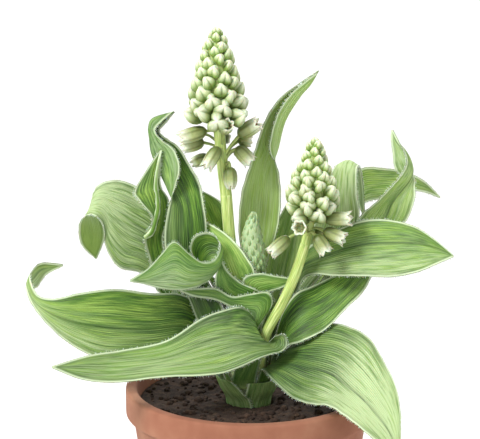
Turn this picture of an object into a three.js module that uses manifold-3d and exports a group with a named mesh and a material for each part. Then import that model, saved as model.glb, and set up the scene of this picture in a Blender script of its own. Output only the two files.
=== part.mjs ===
// Potted bellevalia kurdistanica: a bulb plant with broad waved leaves, two scapes in flower and one in bud.
import * as THREE from 'three';
import { mergeVertices } from 'three/addons/utils/BufferGeometryUtils.js';
import Module from 'manifold-3d';

// Driving sizes, millimetres
const POT_HEIGHT = 115;
const POT_RIM_RADIUS = 62;
const POT_FOOT_RADIUS = 43;
const POT_WALL = 4;
const RIM_BAND = 14;
const SOIL_BELOW_RIM = 8;
const SOIL_Z = POT_HEIGHT - SOIL_BELOW_RIM;
const LEAF_THICK = 0.8;
const GAP = 0.35;
const VIEW_TILT = THREE.MathUtils.degToRad(15);
const VIEW_DISTANCE = 1333.3;
const VIEW_CENTRE = [-5, 90.25];

const wasm = await Module();
wasm.setup();

// The plant is laid out as it is seen from the front and a little above: [across, up, depth], where across
// and up lie on a plane through the foot of the neck, and depth is how far behind the neck the point is.
function sheetPoint(across, up) {
  return new THREE.Vector3(across, up * Math.sin(VIEW_TILT), SOIL_Z + up * Math.cos(VIEW_TILT));
}

const EYE = sheetPoint(...VIEW_CENTRE).add(
  new THREE.Vector3(0, -Math.cos(VIEW_TILT), Math.sin(VIEW_TILT)).multiplyScalar(VIEW_DISTANCE));

function seen([across, up, depth]) {
  const target = sheetPoint(across, up);
  const reach = (depth - EYE.y) / (target.y - EYE.y);
  return EYE.clone().lerp(target, reach);
}

// A point on the neck: bearing in degrees from +X, height above the soil, distance from the axis
function onNeck(bearing, height, radius) {
  const a = THREE.MathUtils.degToRad(bearing);
  return new THREE.Vector3(radius * Math.cos(a), radius * Math.sin(a), SOIL_Z + height);
}

// The foot of a leaf: a short arc round the neck, from its left edge to its right edge
function foot(bearing, width, height, radius, count) {
  const points = [];
  for (let i = 0; i < count; i += 1) {
    points.push(onNeck(bearing + width * (0.5 - i / (count - 1)), height, radius));
  }
  return points;
}

// Solids and meshes
function solid(geometry) {
  const bare = geometry.index ? geometry.toNonIndexed() : geometry.clone();
  bare.deleteAttribute('normal');
  bare.deleteAttribute('uv');
  const merged = mergeVertices(bare, 1e-3);
  return new wasm.Manifold(new wasm.Mesh({
    numProp: 3,
    vertProperties: merged.attributes.position.array,
    triVerts: new Uint32Array(merged.index.array),
  }));
}

function geometryOf(manifold) {
  const mesh = manifold.getMesh();
  const geometry = new THREE.BufferGeometry();
  geometry.setAttribute('position', new THREE.BufferAttribute(new Float32Array(mesh.vertProperties), 3));
  geometry.setIndex([...mesh.triVerts]);
  geometry.computeVertexNormals();
  return geometry;
}

// A closed skin over a grid of points: rows run along the piece, each row goes across it
function gridSkin(top, bottom) {
  const rows = top.length;
  const columns = top[0].length;
  const positions = [];
  for (const layer of [top, bottom]) {
    for (const row of layer) {
      for (const p of row) {
        positions.push(p.x, p.y, p.z);
      }
    }
  }
  const index = [];
  const at = (layer, i, j) => layer * rows * columns + i * columns + j;
  for (let i = 0; i < rows - 1; i += 1) {
    for (let j = 0; j < columns - 1; j += 1) {
      const [a, b, c, d] = [[i, j], [i, j + 1], [i + 1, j + 1], [i + 1, j]];
      index.push(at(0, ...a), at(0, ...b), at(0, ...c), at(0, ...a), at(0, ...c), at(0, ...d));
      index.push(at(1, ...a), at(1, ...c), at(1, ...b), at(1, ...a), at(1, ...d), at(1, ...c));
    }
  }
  const rim = [];
  for (let j = 0; j < columns - 1; j += 1) {
    rim.push([0, j]);
  }
  for (let i = 0; i < rows - 1; i += 1) {
    rim.push([i, columns - 1]);
  }
  for (let j = columns - 1; j > 0; j -= 1) {
    rim.push([rows - 1, j]);
  }
  for (let i = rows - 1; i > 0; i -= 1) {
    rim.push([i, 0]);
  }
  for (let k = 0; k < rim.length; k += 1) {
    const a = rim[k];
    const b = rim[(k + 1) % rim.length];
    index.push(at(0, ...b), at(0, ...a), at(1, ...a), at(0, ...b), at(1, ...a), at(1, ...b));
  }
  const geometry = new THREE.BufferGeometry();
  geometry.setAttribute('position', new THREE.Float32BufferAttribute(positions, 3));
  geometry.setIndex(index);
  geometry.computeVertexNormals();
  return geometry;
}

// Points through the stations of a blade: a smooth curve along each thread, then a smooth curve across.
function bladeGrid(stations, along, across) {
  const rows = stations.map((station) => station.map((p) => (p.isVector3 ? p : seen(p))));
  const width = rows[0].length;
  const last = rows[rows.length - 1];
  if (last.length === 1) {
    const before = rows[rows.length - 2];
    const side = before[width - 1].clone().sub(before[0]).normalize();
    const tip = last[0];
    const spread = (i) => 1.1 * (i / (width - 1) - 0.5);
    rows[rows.length - 1] = before.map((p, i) => tip.clone().addScaledVector(side, spread(i)));
  }
  const threads = rows[0].map((p, i) => (
    new THREE.CatmullRomCurve3(rows.map((row) => row[i]), false, 'catmullrom', 0.5)));
  const grid = [];
  for (let i = 0; i <= along; i += 1) {
    const section = new THREE.CatmullRomCurve3(
      threads.map((thread) => thread.getPoint(i / along)), false, 'catmullrom', 0.5);
    const row = [];
    for (let j = 0; j <= across; j += 1) {
      row.push(section.getPoint(j / across));
    }
    grid.push(row);
  }
  return grid;
}

function faceNormal(grid, i, j) {
  const rows = grid.length - 1;
  const columns = grid[0].length - 1;
  const across = grid[i][Math.min(j + 1, columns)].clone().sub(grid[i][Math.max(j - 1, 0)]);
  const along = grid[Math.min(i + 1, rows)][j].clone().sub(grid[Math.max(i - 1, 0)][j]);
  return across.cross(along).normalize();
}

// A leaf of even thickness; its margins ripple by a fraction of a millimetre
function leaf(stations, { along = 16, across = 4, ripple = 0.35, waves = 5, phase = 0 } = {}) {
  const grid = bladeGrid(stations, along, across);
  const top = [];
  const bottom = [];
  for (let i = 0; i <= along; i += 1) {
    const upper = [];
    const lower = [];
    for (let j = 0; j <= across; j += 1) {
      const n = faceNormal(grid, i, j);
      const edge = Math.abs(2 * j / across - 1) ** 2;
      const s = i / along;
      const side = j * 2 < across ? 0 : 1.7;
      const lift = ripple * edge * Math.sin(Math.PI * s) * Math.sin(2 * Math.PI * waves * s + phase + side);
      upper.push(grid[i][j].clone().addScaledVector(n, lift + LEAF_THICK / 2));
      lower.push(grid[i][j].clone().addScaledVector(n, lift - LEAF_THICK / 2));
    }
    top.push(upper);
    bottom.push(lower);
  }
  return gridSkin(top, bottom);
}

// A round stem along a curve, with a radius at each end
function stem(points, radii, sides = 10, steps = 14) {
  const curve = new THREE.CatmullRomCurve3(points, false, 'catmullrom', 0.5);
  const frames = curve.computeFrenetFrames(steps, false);
  const rings = [];
  for (let i = 0; i <= steps; i += 1) {
    const s = i / steps;
    const k = s * (radii.length - 1);
    const low = Math.min(Math.floor(k), radii.length - 2);
    const radius = THREE.MathUtils.lerp(radii[low], radii[low + 1], k - low);
    const centre = curve.getPointAt(s);
    const ring = [];
    for (let j = 0; j < sides; j += 1) {
      const a = 2 * Math.PI * j / sides;
      ring.push(centre.clone()
        .addScaledVector(frames.normals[i], radius * Math.cos(a))
        .addScaledVector(frames.binormals[i], radius * Math.sin(a)));
    }
    rings.push(ring);
  }
  return ringSkin(rings, curve.getPointAt(0), curve.getPointAt(1));
}

// A closed skin over rings of points, with a point at each end
function ringSkin(rings, start, end) {
  const positions = [start.x, start.y, start.z, end.x, end.y, end.z];
  const sides = rings[0].length;
  for (const ring of rings) {
    for (const p of ring) {
      positions.push(p.x, p.y, p.z);
    }
  }
  const at = (i, j) => 2 + i * sides + (j % sides);
  const index = [];
  for (let j = 0; j < sides; j += 1) {
    index.push(0, at(0, j + 1), at(0, j));
    index.push(1, at(rings.length - 1, j), at(rings.length - 1, j + 1));
    for (let i = 0; i < rings.length - 1; i += 1) {
      index.push(at(i, j), at(i, j + 1), at(i + 1, j + 1), at(i, j), at(i + 1, j + 1), at(i + 1, j));
    }
  }
  const geometry = new THREE.BufferGeometry();
  geometry.setAttribute('position', new THREE.Float32BufferAttribute(positions, 3));
  geometry.setIndex(index);
  geometry.computeVertexNormals();
  return geometry;
}

// A turned piece; its outline starts and ends on the axis
function turned(outline, sides) {
  const profile = outline.map(([r, z]) => new THREE.Vector2(r, z));
  return new THREE.LatheGeometry(profile, sides).rotateX(Math.PI / 2);
}

// Seeded random numbers for the buds
function randomFrom(seed) {
  let state = seed;
  return () => {
    state = (state * 1664525 + 1013904223) % 4294967296;
    return state / 4294967296;
  };
}

// Materials
const leafGreen = new THREE.MeshStandardMaterial({ color: '#6f9a3c', roughness: 0.55, metalness: 0 });
const paleGreen = new THREE.MeshStandardMaterial({ color: '#9dbb70', roughness: 0.6, metalness: 0 });
const stemGreen = new THREE.MeshStandardMaterial({ color: '#c3cf7e', roughness: 0.55, metalness: 0 });
const flowerCream = new THREE.MeshStandardMaterial({ color: '#dfe5bf', roughness: 0.6, metalness: 0 });
const budGreen = new THREE.MeshStandardMaterial({ color: '#b3c796', roughness: 0.65, metalness: 0 });
const bulbSkin = new THREE.MeshStandardMaterial({ color: '#c9c08c', roughness: 0.7, metalness: 0 });
const terracotta = new THREE.MeshStandardMaterial({ color: '#b5704a', roughness: 0.85, metalness: 0 });
const earth = new THREE.MeshStandardMaterial({ color: '#3d2f24', roughness: 0.95, metalness: 0 });

const plant = new THREE.Group();

function place(name, geometry, material) {
  const mesh = new THREE.Mesh(geometry, material);
  mesh.name = name;
  plant.add(mesh);
}

// The pot: a plain tapered pot with a rim band and three drain holes off the centre
const INNER_TOP = POT_RIM_RADIUS - POT_WALL - 1.5;
const INNER_FLOOR = POT_FOOT_RADIUS - POT_WALL;
const FLOOR_THICK = 5;
const potBody = solid(turned([
  [0, 0],
  [POT_FOOT_RADIUS - 1, 0],
  [POT_FOOT_RADIUS, 1],
  [POT_RIM_RADIUS - 3.5, POT_HEIGHT - RIM_BAND],
  [POT_RIM_RADIUS - 1, POT_HEIGHT - RIM_BAND],
  [POT_RIM_RADIUS, POT_HEIGHT - RIM_BAND + 1.2],
  [POT_RIM_RADIUS, POT_HEIGHT - 1.5],
  [POT_RIM_RADIUS - 1.5, POT_HEIGHT],
  [INNER_TOP + 1, POT_HEIGHT],
  [INNER_TOP, POT_HEIGHT - 1],
  [INNER_FLOOR, FLOOR_THICK],
  [0, FLOOR_THICK],
], 32));
let pot = potBody;
for (let i = 0; i < 3; i += 1) {
  const a = THREE.MathUtils.degToRad(90 + 120 * i);
  const drain = new THREE.CylinderGeometry(4.5, 4.5, 3 * FLOOR_THICK, 12);
  drain.rotateX(Math.PI / 2).translate(24 * Math.cos(a), 24 * Math.sin(a), FLOOR_THICK / 2);
  pot = pot.subtract(solid(drain));
}
place('pot', geometryOf(pot), terracotta);

// Heights and radii of the bulb's neck, from the bulb up; leaves grow from three shoulders
const NECK = [
  [8.4, -4],
  [8.8, 0],
  [10.1, 9],
  [10.7, 14],
  [8.6, 16.5],
  [8.6, 22.5],
  [6.4, 24.5],
  [6.4, 30.5],
];
const BULB_WIDEST = 17;
const BULB_FOOT = -40;

// The soil: level, with a plain hole for the neck and the space the bulb fills
const soilTop = INNER_TOP - 0.6;
const HOLE_RADIUS = 12;
place('soil', turned([
  [0, FLOOR_THICK + GAP],
  [INNER_FLOOR - GAP - 0.1, FLOOR_THICK + GAP],
  [soilTop - 0.9, SOIL_Z - 0.6],
  [soilTop - 3, SOIL_Z],
  [30, SOIL_Z + 0.8],
  [HOLE_RADIUS + 2, SOIL_Z + 0.6],
  [HOLE_RADIUS, SOIL_Z - 0.6],
  [HOLE_RADIUS, SOIL_Z - 5],
  [BULB_WIDEST + GAP, SOIL_Z - 17],
  [BULB_WIDEST + GAP, SOIL_Z - 27],
  [9, SOIL_Z + BULB_FOOT - GAP],
  [0, SOIL_Z + BULB_FOOT - GAP],
], 28), earth);

// Scapes: round stems from the neck up to their racemes
const scapeAPath = [
  [-2.4, 25.5, 1.5],
  [-4.5, 45, 2.6],
  [-8, 66, 5],
  [-10.2, 82, 6],
  [-12, 103, 5.5],
].map(seen);
const scapeBPath = [
  [4.0, 7.0, -6.7],
  [5.2, 20, -8.4],
  [8, 33, -10.2],
  [17, 50, -10.2],
  [23, 64, -9.6],
  [27.6, 78, -9],
].map(seen);
const scapeCPath = [
  [3.4, 27, 0.8],
  [3.2, 45, 2.4],
  [3.6, 61.5, 4],
].map(seen);
const scapeA = solid(stem(scapeAPath, [2.2, 2.5, 2.8, 2.9, 2.9], 8, 10));
const scapeB = solid(stem(scapeBPath, [2.2, 2.3, 2.5, 2.6, 2.6, 2.5], 8, 12));
const scapeC = solid(stem(scapeCPath, [1.4, 1.6, 1.9], 8, 6));
place('scape_a', geometryOf(scapeA), stemGreen);
place('scape_b', geometryOf(scapeB), stemGreen);
place('scape_c', geometryOf(scapeC), stemGreen);

// The bulb and its neck, with a plain socket round the foot of each scape
const bulbOutline = [
  [0, SOIL_Z + BULB_FOOT],
  [8, SOIL_Z + BULB_FOOT],
  [BULB_WIDEST, SOIL_Z - 27],
  [BULB_WIDEST, SOIL_Z - 17.3],
  [11, SOIL_Z - 8],
  ...NECK.map(([r, h]) => [r, SOIL_Z + h]),
  [5.8, SOIL_Z + 31.2],
  [0, SOIL_Z + 31.2],
];
let bulb = solid(turned(bulbOutline, 18));
const sockets = [
  stem(scapeAPath, [2.2 + GAP, 2.5 + GAP, 2.8 + GAP, 3.2, 3.2], 8, 10),
  stem(scapeBPath, [2.2 + GAP, 2.3 + GAP, 2.5 + GAP, 3, 3, 3], 8, 12),
  stem(scapeCPath, [1.4 + GAP, 1.6 + GAP, 1.9 + GAP], 8, 6),
];
for (const socket of sockets) {
  bulb = bulb.subtract(solid(socket));
}
for (const [path, radius] of [[scapeAPath, 2.55], [scapeBPath, 2.55], [scapeCPath, 1.75]]) {
  const end = new THREE.CylinderGeometry(radius, radius, 1.4, 8).rotateX(Math.PI / 2);
  end.translate(path[0].x, path[0].y, path[0].z);
  bulb = bulb.subtract(solid(end));
}
place('bulb', geometryOf(bulb), bulbSkin);

// Two short sheaths that wrap the neck at the soil; the left one laps over the right one
function sheath(turns) {
  return turns.map(([from, to, height, radius]) => foot((from + to) / 2, from - to, height, radius, 5));
}

place('sheath_right', leaf(sheath([
  [42, -112, -3, 9.9],
  [40, -106, 3, 10.7],
  [36, -100, 8, 13.2],
  [30, -94, 13.5, 14.4],
]), { along: 5, across: 8, ripple: 0 }), paleGreen);
place('sheath_left', leaf(sheath([
  [-84, -222, -3, 11.2],
  [-88, -220, 3, 12.1],
  [-102, -216, 8, 14.7],
  [-122, -208, 14.5, 17.2],
]), { along: 5, across: 8, ripple: 0 }), paleGreen);

// Each leaf grows from one of the three shoulders of the neck: its foot hugs the neck, then leans away
const SHOULDERS = {
  low: [[9.6, 11.95], [14, 12.25]],
  mid: [[17.5, 9.95], [22, 10.05]],
  high: [[26, 7.2], [30.5, 7.4]],
};

function feet(shoulder, bearing, width, count = 3) {
  return SHOULDERS[shoulder].map(([height, radius]) => foot(bearing, width, height, radius, count));
}

// Big front-left leaf: a cup round the second scape, then a broad level blade
place('leaf_front_left', leaf([
  ...feet('low', -106, 58, 4),
  [[6.5, 24, -14.5], [4.5, 23, -15.3], [0, 22.2, -15], [-6, 22, -13.5]],
  [[12, 31.4, -17.4], [9, 28, -15], [3, 29.5, -16.4], [-4, 33, -12.6]],
  [[17.9, 32.4, -20.2], [12.2, 28.4, -15.8], [6, 30.8, -18.8], [1, 42, -13.2]],
  [[17.5, 25.5, -23], [9, 26.5, -20], [-1, 32, -20], [-4, 46.5, -15.2]],
  [[6, 21, -27.7], [-3, 26, -24.5], [-9, 32.5, -21.5], [-12, 45.5, -17.7]],
  [[-15, 13, -32.4], [-20, 21.5, -27.5], [-23.5, 30, -24], [-25, 40.5, -20.9]],
  [[-45, 11, -40.4], [-44, 17, -35.5], [-42.8, 23, -31.5], [-42, 29.8, -27.9]],
  [[-68, 8.7, -47.4], [-66.7, 14.5, -43.2], [-65.4, 20, -39.5], [-64, 25, -36.4]],
  [[-84, 10.2, -51.7], [-82, 14.7, -49], [-80.7, 19, -46.6], [-80, 22.6, -44.7]],
  [[-99, 16.5, -53]],
], { along: 22, across: 5, waves: 6 }), leafGreen);

// Low left leaf, whose end curls back and over
place('leaf_low_left', leaf([
  ...feet('low', -161, 44),
  [[-19, 21, -7.2], [-19, 28.5, -3.4], [-19, 37, -1.2]],
  [[-32, 25, -13], [-32, 37.5, -6], [-32, 52, -1.6]],
  [[-50, 22, -19], [-50, 36.5, -11], [-50, 53.5, -5]],
  [[-72.5, 20, -24], [-71, 37.5, -14], [-67.5, 55.5, -8]],
  [[-89, 27.5, -24], [-87.5, 40, -16], [-85, 53.5, -11]],
  [[-102.5, 39, -21], [-101, 44.5, -16], [-97.5, 50.5, -12]],
  [[-109.5, 48.5, -14], [-108.5, 50.3, -12], [-106, 52.5, -10.5]],
  [[-112, 57, -6], [-111.3, 58.5, -6], [-109.5, 60.5, -6.5]],
  [[-107, 56, 2], [-109, 61.5, 0], [-108.5, 65.5, -2]],
  [[-102, 62.5, 6], [-104, 66, 5], [-104, 68.6, 3]],
  [[-93.5, 67.5, 8]],
], { along: 22, across: 4, waves: 5, phase: 1 }), leafGreen);

// Trumpet leaf: a channelled blade that rolls open at the top and runs out to the left
place('leaf_trumpet', leaf([
  ...feet('high', -150, 30, 4),
  [[-7.5, 43, -3.8], [-9, 43, -4.2], [-10.5, 43, -4.4], [-12, 43, -4.2]],
  [[-12.5, 56, -3.8], [-14.8, 56.6, -4], [-17, 57, -4.2], [-19, 57.2, -4.4]],
  [[-18.4, 61, -4.4], [-20.8, 63.5, -4.2], [-23.4, 66, -4.4], [-26.4, 68, -5]],
  [[-19.5, 64.5, -5.6], [-22.5, 68, -4.4], [-26, 72, -4.4], [-30, 76, -6]],
  [[-19.3, 66, -6.6], [-21, 71.5, -4.4], [-24, 77.5, -4], [-27.5, 82, -5.4]],
  [[-18.6, 67, -7.6], [-18.5, 73, -5], [-19.3, 79, -4.4], [-21, 83.8, -5.4]],
  [[-17.4, 66.8, -9.2], [-15.2, 71.5, -7.6], [-14.6, 76.5, -7], [-16.3, 81, -7.2]],
  [[-17.5, 64.8, -12], [-14.6, 68.5, -11.4], [-13.7, 72.5, -10.6], [-15.2, 76, -10]],
  [[-20.5, 60.3, -15], [-17.8, 63.5, -15.6], [-16.9, 67, -15.4], [-18.4, 70, -14.4]],
  [[-25.5, 57, -16.8], [-23.7, 61.5, -18], [-23.4, 65.8, -18.2], [-24.4, 69.2, -17]],
  [[-32.5, 55, -17.4], [-30.8, 61, -19], [-30.2, 67.5, -19], [-31, 73.8, -16.6]],
  [[-39.5, 55, -17.8], [-38, 63.5, -19], [-37, 72, -18.2], [-38, 79.4, -14.4]],
  [[-46, 56, -18.5], [-44.8, 62, -19.4], [-43.8, 68.5, -18], [-44, 73.4, -15.6]],
  [[-53, 58, -18.8], [-51.8, 60.6, -19.6], [-51, 63.4, -19.2], [-50.8, 66, -18]],
  [[-60, 59.7, -20]],
], { along: 31, across: 5, waves: 5, ripple: 0.15 }), leafGreen);

// Broad arched left leaf; its tip hangs and turns its other side out
place('leaf_arched_left', leaf([
  ...feet('low', 151, 44),
  [[-24, 34, 8.5], [-22, 41, 11], [-19, 47, 12.5]],
  [[-40, 54, 7.5], [-38, 66, 11], [-33, 78, 14]],
  [[-53.8, 63.2, 5.8], [-50, 80, 10.8], [-43, 97, 15.8]],
  [[-65.4, 66.2, 5.7], [-60, 86, 10.7], [-55, 106, 17.2]],
  [[-71.6, 75.4, 6.4], [-68, 92, 10.9], [-66, 110, 18.4]],
  [[-73, 86, 6.8], [-74, 97.5, 12.3], [-74.5, 108, 19.3]],
  [[-77.5, 91.8, 6.8], [-79, 97, 12.8], [-78.8, 102.5, 20.3]],
  [[-82, 92.4, 10], [-80.8, 93.8, 16.5], [-77, 94.8, 23]],
  [[-85, 88.5, 14.8], [-80.6, 89.4, 20.8], [-74.2, 90, 25.3]],
  [[-85.5, 82, 20.2], [-79.4, 82.6, 24.2], [-72.6, 83.4, 26.7]],
  [[-83.5, 76.5, 24.8], [-78.6, 77, 26.8], [-73.6, 78, 28.1]],
  [[-77, 70.8, 29]],
], { along: 23, across: 4, waves: 5, phase: 2 }), leafGreen);

// Small pointed leaf with a flap turned back on its left and a hook below the flap
place('leaf_pointed_left', leaf([
  ...feet('mid', 148, 40),
  [[-27, 39, 3.5], [-23, 41, 4.5], [-19.5, 43, 5.3]],
  [[-46, 54, 1.8], [-41, 56, 2.8], [-35, 58, 3.8]],
  [[-49.5, 67, 3], [-46, 68, 3.8], [-41, 70, 4.7]],
  [[-52.8, 80.3, 1.4], [-48.5, 81, 4.4], [-43.3, 81, 5.6]],
  [[-48.8, 90, 1.8], [-45.8, 91, 4.8], [-40.6, 91, 7]],
  [[-55.5, 99.5, 1.9], [-46.2, 100.5, 5.1], [-40.6, 100, 7.8]],
  [[-57.8, 104.5, 2.7], [-47.5, 107, 4.9], [-44.6, 107, 6.3]],
  [[-51.8, 115, 4.5], [-47, 116, 5.3], [-44.6, 116, 6.1]],
  [[-44.6, 125, 6.2]],
], { along: 20, across: 4, waves: 5, ripple: 0.25 }), leafGreen);

// Tall left leaf: its left half folds over to the front, and its tip curls
place('leaf_tall_left', leaf([
  ...feet('mid', -168, 34, 4),
  [[-23.5, 34, -6.6], [-19.5, 34, -7.2], [-15.5, 34.5, -7.2], [-11.2, 35.2, -6.9]],
  [[-31, 51, -5.1], [-26, 50, -6], [-20.4, 48, -6.8], [-13.9, 47, -7.6]],
  [[-40, 66, -1], [-34.5, 66, -0.6], [-29, 66, -0.2], [-24.5, 68, 0]],
  [[-43, 80, 1.5], [-37, 80, 2.1], [-29, 81, 2.7], [-21.6, 84, 2.5]],
  [[-41, 96, 3.8], [-37, 96, 5], [-30.5, 97, 6], [-23, 97.5, 5]],
  [[-37.4, 106.5, 4], [-40.6, 104.5, 6.8], [-33, 106, 9.2], [-25, 108, 7.8]],
  [[-35, 116, 4.6], [-45.4, 114.5, 8.1], [-38, 116, 11.2], [-29.5, 116.5, 9.6]],
  [[-38, 125, 5.9], [-49, 123.5, 9.4], [-43, 124.5, 12.8], [-35.3, 126, 11]],
  [[-44, 130, 7.7], [-50, 130.5, 10.6], [-46.5, 129.5, 13.2], [-41.8, 130.8, 11.4]],
  [[-47.5, 134.5, 9.1], [-50.5, 136.3, 11.3], [-48.8, 136, 13.3], [-45.3, 134.4, 12.3]],
  [[-44.5, 138.8, 10.4], [-48.2, 140.8, 12.2], [-45.5, 140.2, 13.8], [-42, 138.5, 13]],
  [[-38, 144, 13]],
], { along: 24, across: 5, waves: 6, ripple: 0.2, phase: 1 }), leafGreen);

// Narrow leaf behind the first scape
place('leaf_behind_scape', leaf([
  ...feet('high', 118, 38),
  [[-6.5, 45, 9.9], [-4, 45, 10.5], [-1.5, 45, 10.5]],
  [[-13, 64, 15.2], [-9.2, 65, 16.4], [-5.5, 66, 15.6]],
  [[-20, 81, 19.4], [-14, 82, 21], [-8.2, 84, 19.4]],
  [[-25, 91, 23], [-18.5, 93, 25], [-11.6, 95, 23.4]],
  [[-28, 99, 27.3], [-22.5, 101, 28.9], [-17.2, 101, 27.7]],
  [[-34, 109, 32]],
], { along: 14, across: 3, waves: 3, ripple: 0.2 }), leafGreen);

// Centre leaf, up-left in front of the bud
place('leaf_centre_up', leaf([
  ...feet('high', 177, 30),
  [[0, 46, -1.2], [-5.5, 44.5, -1.4], [-10.5, 44, -1.2]],
  [[2.6, 62.5, -1.6], [-7, 59, -1.8], [-14, 57, -1.6]],
  [[-1.2, 71, -1.8], [-10, 68.5, -1.4], [-17, 66, -1.6]],
  [[-7.5, 79, -0.4], [-13.5, 77, 0.2], [-19, 74, 0]],
  [[-15.5, 85.6, 3.2], [-19.5, 83.6, 4.4], [-23.5, 81, 4.6]],
  [[-30, 92.5, 10]],
], { along: 14, across: 4, waves: 3, ripple: 0.25 }), leafGreen);

// Short leaves at the centre, with waved rims
place('leaf_centre_left', leaf([
  ...feet('mid', -128, 38),
  [[3, 34, -9.2], [-1, 33, -9.8], [-5, 33, -9.6]],
  [[11, 47.5, -7], [6, 43, -8.8], [1, 38, -9.8]],
  [[9, 54, -7], [5, 48, -8.4], [0.5, 42, -9.6]],
  [[0, 53.2, -7.8], [-2, 48.4, -8.6], [-4, 43.5, -9.4]],
  [[-9, 52, -8], [-9.5, 49.5, -8.8], [-10, 46.5, -9.4]],
  [[-17, 56, -7.8], [-17.5, 53, -8.5], [-18, 50, -9]],
  [[-26, 56, -8.3], [-27, 54, -8.7], [-28, 51.6, -9.2]],
  [[-35.5, 55, -9.4]],
], { along: 18, across: 4, waves: 3, ripple: 0.25 }), leafGreen);
place('leaf_centre_low', leaf([
  ...feet('high', -103, 40),
  [[7, 42, -5.8], [-1, 41, -6.4], [-7, 40, -6]],
  [[12, 50, -4.8], [1, 47, -6.2], [-9, 45.5, -6.2]],
  [[4, 55, -5], [-5, 52, -5.8], [-13, 49.5, -6.2]],
  [[-4.5, 58.8, -5.4], [-11, 56, -5.9], [-17, 54, -6.2]],
  [[-11.2, 65, -5.6], [-14, 63.5, -5.9], [-17.4, 61, -6]],
  [[-14.6, 70.8, -5.8]],
], { along: 16, across: 4, waves: 3, ripple: 0.2 }), leafGreen);
place('leaf_centre_right', leaf([
  ...feet('high', -44, 34),
  [[5, 45, -3.8], [1.5, 47, -3.4], [-2.5, 50, -3.2]],
  [[6, 52, -3.8], [2, 56.5, -3.4], [-3.4, 60.6, -3.2]],
  [[10, 54, -3.8], [7.5, 59, -3.4], [4.4, 63.4, -3.2]],
  [[16, 56, -3.4], [14, 59.5, -3], [12, 62.3, -2.8]],
  [[24, 60, -1.6]],
], { along: 14, across: 4, waves: 3, ripple: 0.2 }), leafGreen);

// Tall right leaf: a channel whose right half folds over at the top
place('leaf_tall_right', leaf([
  ...feet('high', 72, 40, 4),
  [[-1, 47, 10.9], [1.2, 47, 11.9], [3.4, 47, 11.9], [5.5, 48, 11.1]],
  [[-2, 62, 13.8], [1, 62, 15.4], [4.4, 63, 15.6], [7.4, 64.5, 14]],
  [[-5.5, 82.5, 15.6], [1, 83, 19], [8, 84, 18.8], [13.8, 85, 15.4]],
  [[-4.5, 102.5, 17], [2.5, 102, 20.6], [9.5, 102, 20.6], [15.4, 101, 16.8]],
  [[0, 117, 18.9], [5, 117, 22.5], [11, 117, 22.5], [13.6, 116.5, 18.3]],
  [[2.5, 125.5, 20.4], [8, 125.5, 24], [13.8, 125.5, 22.8], [9.6, 126, 18.6]],
  [[7.5, 139.5, 22], [12.5, 140, 25.4], [17.5, 139.5, 24.2], [12.8, 141, 20.4]],
  [[15, 151, 23.6], [20, 150, 26.2], [24.8, 151.5, 25], [19.8, 152.2, 22.2]],
  [[25, 158.6, 25.3], [27.6, 157.4, 26.5], [30, 157.6, 25.7], [27, 159, 24.3]],
  [[34, 164.5, 27]],
], { along: 22, across: 5, waves: 5, ripple: 0.2 }), leafGreen);

// Dark leaf behind the second raceme, on its left
place('leaf_behind_left', leaf([
  ...feet('mid', 84, 38),
  [[7, 43, 15.2], [10.5, 42, 16.2], [14, 42, 14.8]],
  [[4.6, 61, 22.1], [14, 62, 23.5], [24, 62, 20.7]],
  [[8.6, 80, 27.8], [18, 80, 28.9], [27, 80, 26.3]],
  [[16.5, 95, 32.7], [22, 96, 33.3], [28, 95, 31.3]],
  [[26, 111, 36]],
], { along: 14, across: 4, waves: 3, phase: 2 }), leafGreen);

// Leaf behind the second raceme, bent back at its top
place('leaf_bent_back', leaf([
  ...feet('mid', 40, 38),
  [[11, 44, 8.5], [15, 43, 9.1], [19, 42, 7.9]],
  [[22, 66, 10.3], [30, 66, 12.3], [38, 65, 10.9]],
  [[32, 88, 10.6], [43, 88, 13.6], [53.8, 88, 11.2]],
  [[36, 104, 11.5], [45, 104, 14.1], [53.4, 104, 12.1]],
  [[41, 114.4, 13.9], [47, 116.8, 15.9], [53.6, 115.4, 14.5]],
  [[44.5, 116.8, 19.6], [50, 119.2, 20.6], [55.2, 116, 19.2]],
  [[50, 108, 24.7], [53.6, 109.5, 24.7], [56.6, 108, 23.3]],
  [[57, 92, 25.6]],
], { along: 20, across: 4, waves: 4, phase: 1 }), leafGreen);

// Back right leaf, arching over to the right behind the others
place('leaf_back_right', leaf([
  ...feet('low', 72, 38),
  [[16, 42, 19.7], [19, 38, 19.7], [22, 35, 18.1]],
  [[34, 82, 29.2], [39, 74, 29.2], [43, 66, 27.2]],
  [[46, 109, 33], [50, 101, 34], [54, 94, 32]],
  [[56, 115.8, 34.7], [57, 107.5, 35.9], [58.5, 99, 34.2]],
  [[66, 116, 36.3], [67, 108.5, 38], [67.5, 101, 36.3]],
  [[77, 114.4, 39.5], [77.5, 109, 40.5], [78, 104.5, 39.3]],
  [[87, 109.6, 42.3], [87, 106.6, 42.9], [87.2, 103.8, 42.3]],
  [[95, 101.4, 45]],
], { along: 20, across: 4, waves: 4, phase: 2 }), leafGreen);

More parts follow.
